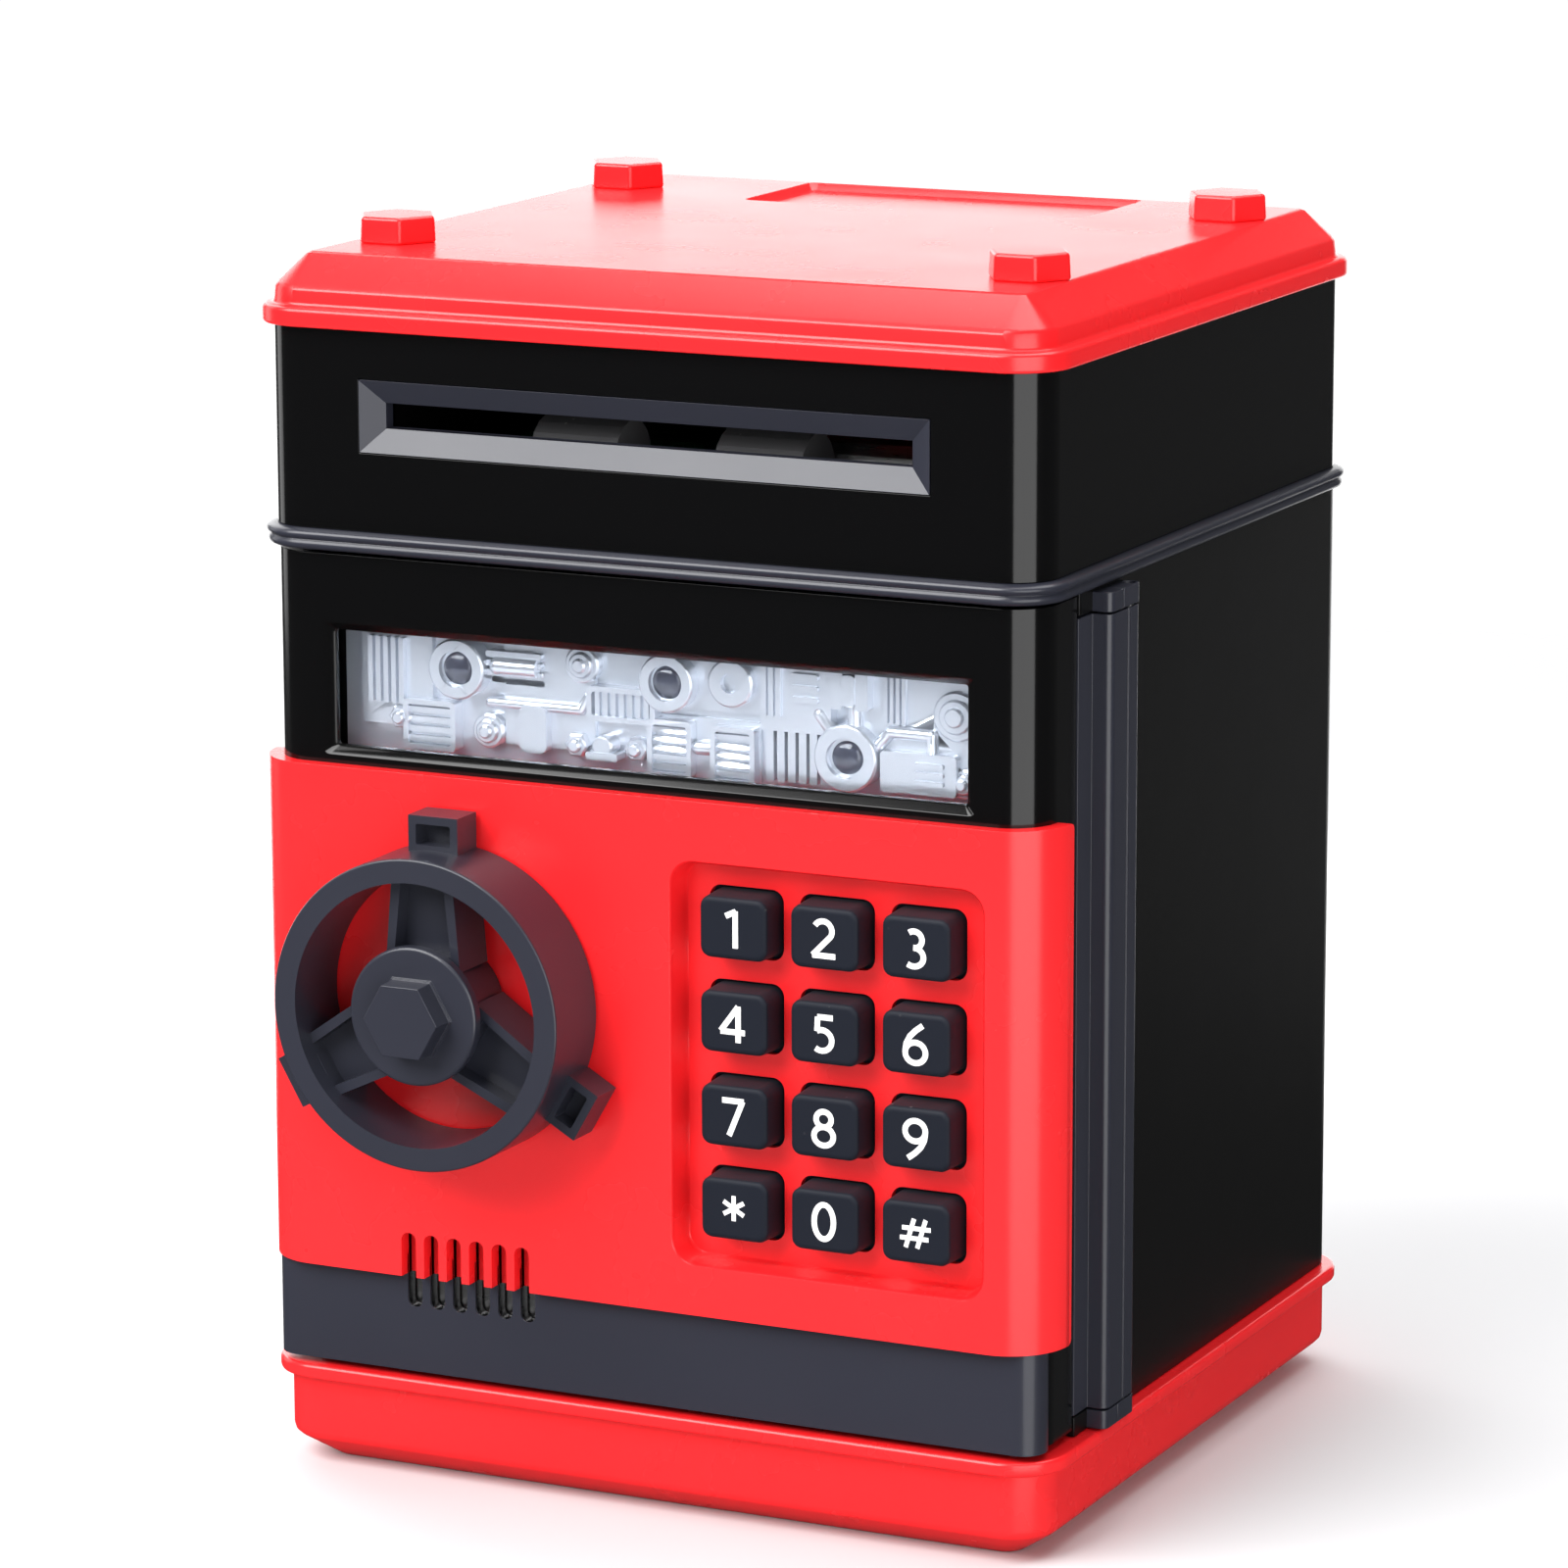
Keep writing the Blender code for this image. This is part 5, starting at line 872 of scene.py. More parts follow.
class TOYSAFE_OT_door(bpy.types.Operator):
    """The door's glossy shell with its window slopes, and the slate strip along its foot"""
    bl_idname = "toysafe.door"
    bl_label = "Door shell and strip"

    def execute(self, context):
        size = sizes()
        proud = 0.4 * MM
        front, rear = SHELL[0].y + proud, SHELL[1].y
        left, right = SHELL[0].x + proud, SHELL[1].x - proud
        low, high = SHELL[0].z, SHELL[1].z

        def front_edge(middle):
            return middle.y < (front + rear) / 2

        shape = box((left, front, low + 0.2 * MM), (right, rear, high), size.corner_radius, "Z", front_edge)
        thick = 2.0 * MM
        room = box((left + thick, front + thick, low + thick),
                   (right - thick, rear + OVERCUT, high - thick),
                   size.corner_radius - thick, "Z", front_edge)
        window = (WINDOW.x, WINDOW.z)
        lens_seat = 2.0 * MM
        half_x = (LENS[1].x - LENS[0].x) / 2 - lens_seat
        half_z = (LENS[1].z - LENS[0].z) / 2 - lens_seat
        across, upright, lead_in = size.window_funnel, size.window_funnel * 0.62, 0.25 * MM
        funnel = loft([(front - 0.01 * MM, half_x + across, half_z + upright, 1.6 * MM),
                       (front + 1.2 * MM, half_x + lead_in, half_z + lead_in, 0.5 * MM),
                       (front + 2.4 * MM, half_x, half_z, 0.4 * MM)], 6, window, "Y")
        keypad = (KEYMAT[0] + KEYMAT[1]) / 2
        mat_x, mat_z = (KEYMAT[1].x - KEYMAT[0].x) / 2, (KEYMAT[1].z - KEYMAT[0].z) / 2
        pocket, through = 1.8 * MM, front + 4 * MM
        opening = plate(keypad.x, keypad.z, mat_x + pocket, mat_z + pocket, front - OVERCUT, through,
                        size.keypad_radius + pocket)
        shaft = rod("Y", AXIS, SHAFT_HOLE, front - OVERCUT, through)
        grille = grille_cutter(front - 2 * MM, through, PANEL[0].z + 2 * MM)
        shell = worked(shape, ("cut", room), ("cut", funnel), ("cut", opening), ("cut", shaft),
                       ("cut", grille))
        piece("door_skin", shell, finish("black_plastic"), "door", ["door_shell"],
              soft=0.22 * MM)
        self.strip(front, proud, left, right, low, front_edge)
        return {"FINISHED"}

    def strip(self, front, proud, left, right, low, front_edge):
        """The strip wraps both corners and ends in a slant."""
        size = sizes()
        high = PANEL[0].z + 0.05 * MM
        top = high + 3.0 * MM
        wrap = front + 6.8 * MM
        outer = box((left - proud, front - proud, low), (right + proud, wrap, top),
                    size.corner_radius + proud, "Z", front_edge)
        inner = box((left, front, low - OVERCUT), (right, wrap + OVERCUT, top + OVERCUT),
                    size.corner_radius, "Z", front_edge)
        slant = 13
        slants = []
        for side in (left - proud, right + proud):
            start = wrap - 2.6 * MM
            wedge = box((side - 3 * MM, start, low - 3 * MM), (side + 3 * MM, wrap + 9 * MM, top + 9 * MM))
            spun(wedge, (side, start, top), slant, "X")
            slants.append(("cut", wedge))
        shape = worked(outer, ("cut", inner), *slants,
                       ("cut", grille_cutter(front - 3 * MM, front + 3 * MM, PANEL[0].z + 2 * MM)))
        piece("door_strip", shape, finish("slate_plastic"), "door", soft=0.15 * MM)


def grille_cutter(y0, y1, top=None):
    """Six round-ended slots in front of the speaker."""
    low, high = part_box("speaker")
    middle_x = (low.x + high.x) / 2
    z0 = SHELL[0].z + 10.1 * MM
    z1 = top or SHELL[0].z + 22.2 * MM
    z1 = max(z1, SHELL[0].z + 22.2 * MM)
    count, pitch, half = 6, 3.84 * MM, 1.25 * MM
    slots = [plate(middle_x + (number - (count - 1) / 2) * pitch, (z0 + z1) / 2, half, (z1 - z0) / 2,
                   y0, y1, half * 0.96) for number in range(count)]
    return merged(slots)


class TOYSAFE_OT_panel(bpy.types.Operator):
    """The red panel that wraps the door, with its keypad recess and speaker slots"""
    bl_idname = "toysafe.panel"
    bl_label = "Door panel"

    def execute(self, context):
        size = sizes()
        front, rear = PANEL[0].y, PANEL[1].y
        inner = SHELL[0].y + 0.4 * MM
        corner = size.corner_radius + (inner - front)

        def front_edge(middle):
            return middle.y < (front + rear) / 2

        shape = box(PANEL[0], PANEL[1], corner, "Z", front_edge)
        self.round_rear(shape, rear)
        self.round_rim(shape, rear)
        inside = SHELL[0].x + 0.15 * MM, SHELL[1].x - 0.15 * MM
        room = box((inside[0], inner - 0.25 * MM, PANEL[0].z - MM), (inside[1], rear + MM, PANEL[1].z + MM),
                   size.corner_radius + 0.25 * MM, "Z", front_edge)
        keypad = (KEYMAT[0] + KEYMAT[1]) / 2
        mat_x, mat_z = (KEYMAT[1].x - KEYMAT[0].x) / 2, (KEYMAT[1].z - KEYMAT[0].z) / 2
        floor = front + size.keypad_depth
        pocket = plate(keypad.x, keypad.z, mat_x + 1.4 * MM, mat_z + 1.4 * MM, front + 1.2 * MM,
                       floor + 1.5 * MM, size.keypad_radius + 1.4 * MM)
        recess = loft([(front - 0.02 * MM, mat_x + 0.45 * MM, mat_z + 0.45 * MM,
                        size.keypad_radius + 0.4 * MM),
                       (front + 0.45 * MM, mat_x + 0.05 * MM, mat_z + 0.05 * MM, size.keypad_radius),
                       (floor - 0.5 * MM, mat_x - 0.15 * MM, mat_z - 0.15 * MM, size.keypad_radius),
                       (floor, mat_x - 0.6 * MM, mat_z - 0.6 * MM, size.keypad_radius - 0.4 * MM)],
                      10, (keypad.x, keypad.z), "Y")
        holes = []
        for node in KEYS:
            low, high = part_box(node)
            middle = (low + high) / 2
            holes.append(plate(middle.x, middle.z, (high.x - low.x) / 2 - 0.5 * MM,
                               (high.z - low.z) / 2 - 0.4 * MM,
                               floor - MM, floor + 3 * MM, 1.9 * MM))
        shaft = rod("Y", AXIS, 3.3 * MM, front - MM, front + 4 * MM)
        grille = grille_cutter(front - MM, inner + MM)
        panel = worked(shape, ("cut", room), ("join", pocket), ("cut", recess), ("cut", merged(holes)),
                       ("cut", shaft), ("cut", grille))
        piece("red_panel", panel, finish("red_plastic"), "door", ["door_panel"],
              soft=0.3 * MM, limit=40)
        return {"FINISHED"}

    def round_rear(self, shape, rear):
        """Rounds the two level rear edges, so each wing ends in round corners."""
        edges = [edge for edge in shape.edges
                 if all(abs(vert.co.y - rear) < 0.01 * MM for vert in edge.verts)
                 and abs(edge.verts[0].co.z - edge.verts[1].co.z) < 0.01 * MM]
        bmesh.ops.bevel(shape, geom=edges, offset=sizes().wing_round, segments=8, profile=0.5, affect="EDGES",
                        clamp_overlap=True)

    def round_rim(self, shape, rear):
        """Rounds every outer edge but those at the rear, where the panel meets the door's sides."""
        edges = []
        for edge in shape.edges:
            if len(edge.link_faces) == 2 and edge.calc_face_angle() > math.radians(60):
                if min(edge.verts[0].co.y, edge.verts[1].co.y) < rear - 0.5 * MM:
                    edges.append(edge)
        bmesh.ops.bevel(shape, geom=edges, offset=sizes().rim_round, segments=5, profile=0.5, affect="EDGES",
                        clamp_overlap=True)


# ---- the keypad ----------------------------------------------------------------------------------
def bow(cx, cz, rx, rz, start, end, steps=20):
    """Points on part of an ellipse; a digit is two units tall about its middle."""
    return [(cx + rx * math.cos(math.radians(start + (end - start) * i / steps)),
             cz + rz * math.sin(math.radians(start + (end - start) * i / steps))) for i in range(steps + 1)]


def ring_of(cx, cz, rx, rz):
    return "loop", bow(cx, cz, rx, rz, 0, 360, 32)[:-1]


def six(flip=1):
    stem = [(-0.56 * flip, -0.36 * flip), (-0.5 * flip, 0.02 * flip), (-0.3 * flip, 0.4 * flip),
            (0.02 * flip, 0.72 * flip), (0.4 * flip, 1.0 * flip)]
    return [ring_of(0.0, -0.43 * flip, 0.56, 0.53), ("line", stem)]


def star():
    arms = []
    for degrees in (30, 90, 150):
        x, z = 0.66 * math.cos(math.radians(degrees)), 0.66 * math.sin(math.radians(degrees))
        arms.append(("line", [(x, z + 0.1), (-x, 0.1 - z)]))
    return arms


def strokes(label):
    """A character as strokes about its middle; a loop closes on itself."""
    shapes = {
        "1": [("line", [(0.16, -0.98), (0.16, 0.96)]), ("line", [(0.2, 0.94), (-0.38, 0.66)])],
        "2": [("line", bow(-0.02, 0.42, 0.5, 0.5, 150, -32) + [(-0.6, -0.86)]),
              ("line", [(-0.62, -0.86), (0.66, -0.86)])],
        "3": [("line", bow(-0.08, 0.47, 0.44, 0.43, 128, -90)),
              ("line", bow(-0.1, -0.42, 0.54, 0.48, 92, -128))],
        "4": [("line", [(0.3, -0.98), (0.3, 0.92)]), ("line", [(0.3, 0.9), (-0.68, -0.42)]),
              ("line", [(-0.7, -0.44), (0.68, -0.44)])],
        "5": [("line", [(0.52, 0.86), (-0.34, 0.86)]), ("line", [(-0.32, 0.86), (-0.36, 0.12)]),
              ("line", bow(-0.1, -0.34, 0.56, 0.54, 118, -128))],
        "6": six(),
        "7": [("line", [(-0.62, 0.86), (0.6, 0.86)]), ("line", [(0.54, 0.88), (-0.24, -0.98)])],
        "8": [ring_of(0.0, 0.46, 0.42, 0.4), ring_of(0.0, -0.42, 0.54, 0.48)],
        "9": six(-1),
        "0": [ring_of(0.0, 0.0, 0.54, 0.9)],
        "star": star(),
        "hash": [("line", [(-0.52, -0.76), (-0.06, 0.76)]), ("line", [(0.12, -0.76), (0.58, 0.76)]),
                 ("line", [(-0.72, 0.26), (0.86, 0.26)]), ("line", [(-0.84, -0.26), (0.74, -0.26)])],
    }
    return shapes[label]


def ribbon(kind, points, half, place, y0, y1):
    """A stroke of even width on the key's face, as a thin closed slab."""
    scale = sizes().digit_height / 2
    count = len(points)
    shape = bmesh.new()
    rings = []
    for index, point in enumerate(points):
        before = points[index - 1] if index or kind == "loop" else point
        after = points[(index + 1) % count] if index < count - 1 or kind == "loop" else point
        run = Vector((after[0] - before[0], after[1] - before[1])).normalized()
        centre = Vector((place[0] + point[0] * scale, place[1] + point[1] * scale))
        normal = Vector((-run.y, run.x)) * half
        rings.append([shape.verts.new((at.x, level, at.y)) for at, level in (
            (centre + normal, y0), (centre + normal, y1), (centre - normal, y1), (centre - normal, y0))])
    bridge(shape, rings, closed=kind == "loop")
    return shape


class TOYSAFE_OT_keys(bpy.types.Operator):
    """The twelve silicone keys and their printed characters"""
    bl_idname = "toysafe.keys"
    bl_label = "Keypad"

    def execute(self, context):
        half_stroke = sizes().digit_stroke / 2
        for node, label in KEYS.items():
            low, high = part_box(node)
            middle = (low + high) / 2
            half_x, half_z = (high.x - low.x) / 2 - 1.0 * MM, (high.z - low.z) / 2 - 1.0 * MM
            front = low.y
            foot = front + 6.0 * MM
            shape = loft([
                (front, half_x - 0.95 * MM, half_z - 0.95 * MM, 0.9 * MM),
                (front + 0.06 * MM, half_x - 0.55 * MM, half_z - 0.55 * MM, 1.2 * MM),
                (front + 0.24 * MM, half_x - 0.25 * MM, half_z - 0.25 * MM, 1.5 * MM),
                (front + 0.6 * MM, half_x - 0.1 * MM, half_z - 0.1 * MM, 1.65 * MM),
                (front + 4.6 * MM, half_x + 0.08 * MM, half_z + 0.08 * MM, 1.8 * MM),
                (foot, half_x + 0.1 * MM, half_z + 0.1 * MM, 1.8 * MM),
                (foot, half_x + 0.9 * MM, half_z + 0.9 * MM, 2.2 * MM),
                (high.y, half_x + 0.9 * MM, half_z + 0.9 * MM, 2.2 * MM)], 6, (middle.x, middle.z), "Y")
            piece(f"cap_{label}", shape, finish("key_rubber"), node, [node], soft=0.0,
                  smooth=50)
            y0, y1 = front - 0.05 * MM, front + 0.15 * MM
            thin = half_stroke * (0.8 if label in ("star", "hash") else 1.0)
            first, *others = [ribbon(kind, points, thin, (middle.x, middle.z), y0, y1)
                              for kind, points in strokes(label)]
            ink = worked(first, *[("join", other) for other in others])
            piece(f"print_{label}", ink, finish("ink"), node, soft=0.0, smooth=20)
        return {"FINISHED"}


# ---- the window ----------------------------------------------------------------------------------
class TOYSAFE_OT_window(bpy.types.Operator):
    """The clear lens and the silver machinery in relief behind it"""
    bl_idname = "toysafe.window"
    bl_label = "Window and relief"

    def execute(self, context):
        low, high = LENS
        lens = box(low, high, 0.8 * MM, "Y", None, 4)
        piece("lens", lens, finish("clear_plastic"), "door", ["window_lens"],
              soft=0.12 * MM)
        # The lens's edge is an opaque pale blue rim, a painted highlight for the light that the clear edge
        # catches.
        edge = 0.35 * MM
        outside = box((low.x, low.y - 0.05 * MM, low.z), (high.x, low.y + edge, high.z), 0.8 * MM, "Y",
                      None, 4)
        inside = box((low.x + edge, low.y - OVERCUT, low.z + edge),
                     (high.x - 2 * edge, low.y + OVERCUT, high.z - edge), 0.5 * MM, "Y", None, 4)
        rim = worked(outside, ("cut", inside))
        piece("lens_highlight_edge", rim, finish("lens_highlight_edge"), "door", soft=0.08 * MM)
        self.front = RELIEF[0].y + 0.1 * MM
        self.floor = RELIEF[1].y - 1.5 * MM
        self.deep = self.floor + 0.6 * MM
        blocks = [box((RELIEF[0].x, self.floor, RELIEF[0].z), RELIEF[1])]
        blocks += self.covers() + self.vents() + self.pipes() + self.ribs() + self.discs()
        first, *others = blocks
        shape = worked(first, *[("join", other) for other in others])
        piece("machinery", shape, finish("silver_plastic"), "door", ["relief_plate"],
              soft=0.14 * MM, segments=2, limit=40)
        for number, (x, z) in enumerate(((1.7, 4.3), (30.7, -4.4), (-33.0, 3.6)), 1):
            self.eye(number, x, z)
        return {"FINISHED"}

    def at(self, x, z):
        """A place in the window, from its middle, in millimetres."""
        return WINDOW.x + x * MM, WINDOW.z + z * MM

    def level(self, height):
        """How far back a face lies that stands height millimetres above the relief's floor."""
        return max(self.front, self.floor - height * MM)

    def slab(self, x, z, half_x, half_z, height, radius=0.4):
        return plate(*self.at(x, z), half_x * MM, half_z * MM, self.level(height), self.deep,
                     radius * MM, 4)

    def drum(self, x, z, radius, height, rim=0.0, sides=48):
        centre_x, centre_z = self.at(x, z)
        centre = (centre_x, 0, centre_z)
        top = self.level(height)
        solid = turned([(top, (radius - 0.3) * MM), (top + 0.3 * MM, radius * MM),
                        (self.deep, radius * MM)], centre, "Y", sides)
        if not rim:
            return solid
        well = rod("Y", centre, rim * MM, top - MM, top + 1.1 * MM, sides)
        return worked(solid, ("cut", well))

    def covers(self):
        """Big flat covers that the machinery sits on."""
        return [self.slab(-18.5, 0.5, 7.5, 8.0, 0.8), self.slab(6.5, 5.0, 10.5, 4.6, 0.9),
                self.slab(22.4, 4.2, 5.6, 5.6, 2.3, 0.2), self.slab(40.5, 2.0, 9.5, 6.8, 1.0),
                self.slab(-44.0, 1.0, 6.0, 7.0, 1.1), self.slab(6.2, -5.4, 9.8, 4.6, 0.6)]

    def vents(self):
        """Framed louvres, a trapezium grille and three slotted hoods."""
        shapes = []
        for x, z, half_x, half_z, bars in ((1.9, -5.6, 3.6, 4.3, 5), (12.2, -5.8, 3.6, 4.3, 5),
                                           (-6.0, 0.2, 5.6, 2.6, 0), (-38.0, -5.4, 4.4, 3.8, 4)):
            hood = self.slab(x, z, half_x, half_z, 2.5, 0.7)
            middle_x, middle_z = self.at(x, z)
            well = plate(middle_x, middle_z, (half_x - 0.8) * MM, (half_z - 0.8) * MM, self.front - MM,
                         self.level(1.2), 0.4 * MM, 3)
            shapes.append(worked(hood, ("cut", well)))
            for bar in range(bars):
                step = (half_z - 0.9) * 2 / bars
                height = z - half_z + 0.9 + (bar + 0.5) * step
                shapes.append(self.slab(x, height, half_x - 0.7, step * 0.3, 2.1, 0.1))
            if not bars:
                shapes += [self.slab(x - half_x + 1.5 + rib * 1.35, z, 0.38, half_z - 0.7, 2.0, 0.1)
                           for rib in range(7)]
        for row in range(3):
            shapes.append(self.slab(24.0, 7.0 - row * 1.7, 2.2, 0.45, 2.9, 0.4))
            shapes.append(self.slab(43.8, -4.4 - row * 1.3, 2.4, 0.38, 3.2, 0.35))
        shapes.append(self.slab(42.0, -5.8, 6.0, 3.0, 2.6, 0.6))
        return shapes

    def ribs(self):
        """Ribbed blocks, upright and level."""
        shapes = [self.slab(17.6 + rib * 1.15, 5.2, 0.36, 4.4, 3.0, 0.15) for rib in range(3)]
        shapes += [self.slab(18.2 + rib * 1.75, -4.8, 0.6, 4.2, 2.2, 0.3) for rib in range(6)]
        shapes += [self.slab(36.5 + rib * 0.95, 5.2, 0.28, 4.2, 1.8, 0.15) for rib in range(4)]
        shapes += [self.slab(-48.0 + rib * 1.3, 2.4, 0.4, 5.0, 2.2, 0.2) for rib in range(5)]
        shapes += [self.slab(-24.0, 6.2 - rib * 1.4, 4.6, 0.45, 2.0, 0.3) for rib in range(4)]
        shapes.append(self.slab(-20.5, -4.6, 2.2, 3.6, 2.6, 1.2))
        return shapes

    def discs(self):
        """Round rings, hex bolts and stepped discs."""
        shapes = []
        for x, z, radius, rim in ((1.7, 4.3, 4.4, 2.7), (30.7, -4.4, 5.0, 3.0), (-33.0, 3.6, 4.6, 2.8)):
            shapes.append(self.drum(x, z, radius, 3.6, rim))
        shapes.append(self.drum(11.9, 5.0, 3.6, 2.6, 1.5))
        for x, z, radius in ((47.6, 2.9, 3.7), (48.8, -6.9, 2.2), (-28.5, -5.6, 2.6), (-12.8, 5.6, 2.8)):
            for step in range(3):
                shapes.append(self.drum(x, z, radius * (1 - 0.3 * step), 1.7 + 0.6 * step))
        for x, z in ((-3.6, -6.2), (-13.5, -6.4), (-43.0, -4.6)):
            shapes.append(self.drum(x, z, 1.9, 2.4, sides=6))
            shapes.append(self.drum(x, z, 1.0, 3.3, sides=24))
        shapes.append(self.drum(-9.0, -6.2, 1.7, 2.8))
        shapes.append(self.slab(-9.0, -7.6, 2.6, 0.6, 3.0, 0.3))
        return shapes

    def pipe(self, points, radius, height):
        """A half-sunk pipe through points, with a ball at each bend."""
        shapes = []
        level = self.level(height) + radius * MM
        for start, end in zip(points, points[1:]):
            a, b = (Vector((place[0], level, place[1])) for place in (self.at(*start), self.at(*end)))
            run = b - a
            tube = bmesh.new()
            turn = run.to_track_quat("Z", "Y").to_matrix().to_4x4()
            bmesh.ops.create_cone(tube, cap_ends=True, segments=20, radius1=radius * MM,
                                  radius2=radius * MM, depth=run.length,
                                  matrix=Matrix.Translation((a + b) / 2) @ turn)
            shapes.append(tube)
            ball = bmesh.new()
            bmesh.ops.create_uvsphere(ball, u_segments=20, v_segments=12, radius=radius * 1.02 * MM,
                                      matrix=Matrix.Translation(a))
            shapes.append(ball)
        return shapes

    def pipes(self):
        shapes = self.pipe([(26.2, 1.6), (28.4, -1.2)], 1.0, 2.8)
        shapes += self.pipe([(31.6, 6.0), (31.6, 0.0)], 1.1, 2.6)
        shapes += self.pipe([(34.6, -3.2), (37.2, -0.2), (43.8, -0.2), (43.8, -4.0)], 0.9, 2.4)
        shapes += self.pipe([(6.2, -5.2), (8.4, -5.2)], 1.1, 2.2)
        shapes += self.pipe([(-26.5, 4.4), (-20.0, 4.4)], 1.5, 3.0)
        shapes += self.pipe([(-28.0, -1.2), (-13.0, -1.2), (-11.6, 1.0)], 0.8, 2.2)
        for step, (half, height) in enumerate(((2.9, 3.0), (2.3, 3.5), (2.9, 3.0))):
            shapes.append(self.slab(29.2 + step * 2.0, 5.6, 1.0, half, height, 0.5))
        return shapes

    def eye(self, number, x, z):
        """A smoked dome in its ring."""
        centre_x, centre_z = self.at(x, z)
        radius = 2.5 * MM
        base = self.level(3.6) + 1.2 * MM
        profile = [(base + 0.4 * MM, radius)]
        for step in range(9):
            angle = math.radians(90) * step / 9
            profile.append((base - 0.95 * MM * math.sin(angle), radius * math.cos(angle)))
        profile.append((base - 0.95 * MM, 0.05 * MM))
        dome = turned(profile, (centre_x, 0, centre_z), "Y", 40)
        piece(f"dome_{number}", dome, finish("dome"), "door", soft=0.0, smooth=60)


# ---- the wheel and the hinge ---------------------------------------------------------------------
class TOYSAFE_OT_wheel(bpy.types.Operator):
    """The handle wheel with its channel spokes, pocketed lugs and hexagonal cap"""
    bl_idname = "toysafe.wheel"
    bl_label = "Handle wheel"

    def execute(self, context):
        radius, band = 23.6 * MM, 3.6 * MM
        front, rear = WHEEL[0].y, WHEEL[1].y
        centre = (AXIS.x, 0, AXIS.z)
        rim = turned([(front, radius - 0.35 * MM), (front + 0.12 * MM, radius - 0.12 * MM),
                      (front + 0.35 * MM, radius), (rear, radius + 0.05 * MM)], centre, "Y", 128)
        bore = rod("Y", centre, radius - band, front - MM, rear + MM, 128)
        steps = [("cut", bore)]
        for angle in SPOKE_ANGLES:
            steps.append(("join", spun(self.spoke(rear, radius, band), centre, angle)))
        hub = turned([(rear, 8.2 * MM), (front + 1.7 * MM, 9.0 * MM), (front + 1.5 * MM, 8.8 * MM)], centre)
        steps.append(("join", hub))
        for angle in SPOKE_ANGLES:
            steps.append(("join", spun(self.lug(rear, radius, band), centre, angle)))
            steps.append(("cut", spun(self.pocket(rear, radius), centre, angle)))
        steps.append(("cut", rod("Y", centre, 3.2 * MM, front - MM, rear + MM, 40)))
        piece("wheel_rim", worked(rim, *steps), finish("slate_plastic"), "wheel",
              ["handle_wheel"], soft=0.28 * MM)
        self.cap(centre)
        return {"FINISHED"}

    def spoke(self, rear, radius, band):
        """An open channel: two flanges and a web set back between them, wider at the hub."""
        at_hub, at_rim = 6.2 * MM, 5.0 * MM
        start, end = AXIS.z + 6.5 * MM, AXIS.z + radius - band + 0.5 * MM
        face = rear - 9.6 * MM

        def taper(half_low, half_high, y0, y1, z0, z1):
            shape = box((-1, y0, z0), (1, y1, z1))
            for vert in shape.verts:
                half = half_low if vert.co.z < (z0 + z1) / 2 else half_high
                vert.co.x = AXIS.x + math.copysign(half, vert.co.x)
            return shape

        outside = taper(at_hub, at_rim, face, rear - 1.0 * MM, start, end)
        flange = 1.5 * MM
        inside = taper(at_hub - flange, at_rim - flange, face - OVERCUT, face + 3.1 * MM,
                       start + 2.2 * MM, end - 0.6 * MM)
        return worked(outside, ("cut", inside))

    lug_half, lug_reach, lug_depth = 4.1 * MM, 5.1 * MM, 6.0 * MM

    def lug(self, rear, radius, band):
        return box((AXIS.x - self.lug_half, rear - self.lug_depth, AXIS.z + radius - band * 0.6),
                   (AXIS.x + self.lug_half, rear - 0.1 * MM, AXIS.z + radius + self.lug_reach))

    def pocket(self, rear, radius):
        wall, deep = 1.25 * MM, 3.2 * MM
        half, front = self.lug_half - wall, rear - self.lug_depth
        return box((AXIS.x - half, front - OVERCUT, AXIS.z + radius + 0.7 * MM),
                   (AXIS.x + half, front + deep, AXIS.z + radius + self.lug_reach - wall),
                   0.3 * MM, "Y", None, 3)

    def cap(self, centre):
        front, rear = CAP[0].y, CAP[1].y
        face = front + 3.8 * MM
        disc = turned([(face, 9.9 * MM), (face + 0.1 * MM, 10.25 * MM), (face + 0.35 * MM, 10.48 * MM),
                       (rear, 10.5 * MM)], centre, "Y", 96)
        hexagon = rod("Y", centre, 6.15 * MM, front, face + 0.5 * MM, 6, 6.3 * MM)
        spun(hexagon, centre, self.hex_turn(hexagon))
        collar = rod("Y", centre, 6.6 * MM, face - 0.25 * MM, face + 0.3 * MM, 6)
        spun(collar, centre, self.hex_turn(collar))
        cap = worked(disc, ("join", collar), ("join", hexagon))
        piece("wheel_hub_cap", cap, finish("slate_plastic"), "wheel", ["wheel_cap"],
              soft=0.3 * MM)

    def hex_turn(self, shape):
        """The turn that brings a vertex of the hexagon to the level of its axis."""
        level = min(abs(vert.co.z - AXIS.z) for vert in shape.verts)
        return 0 if level < 0.1 * MM else 30


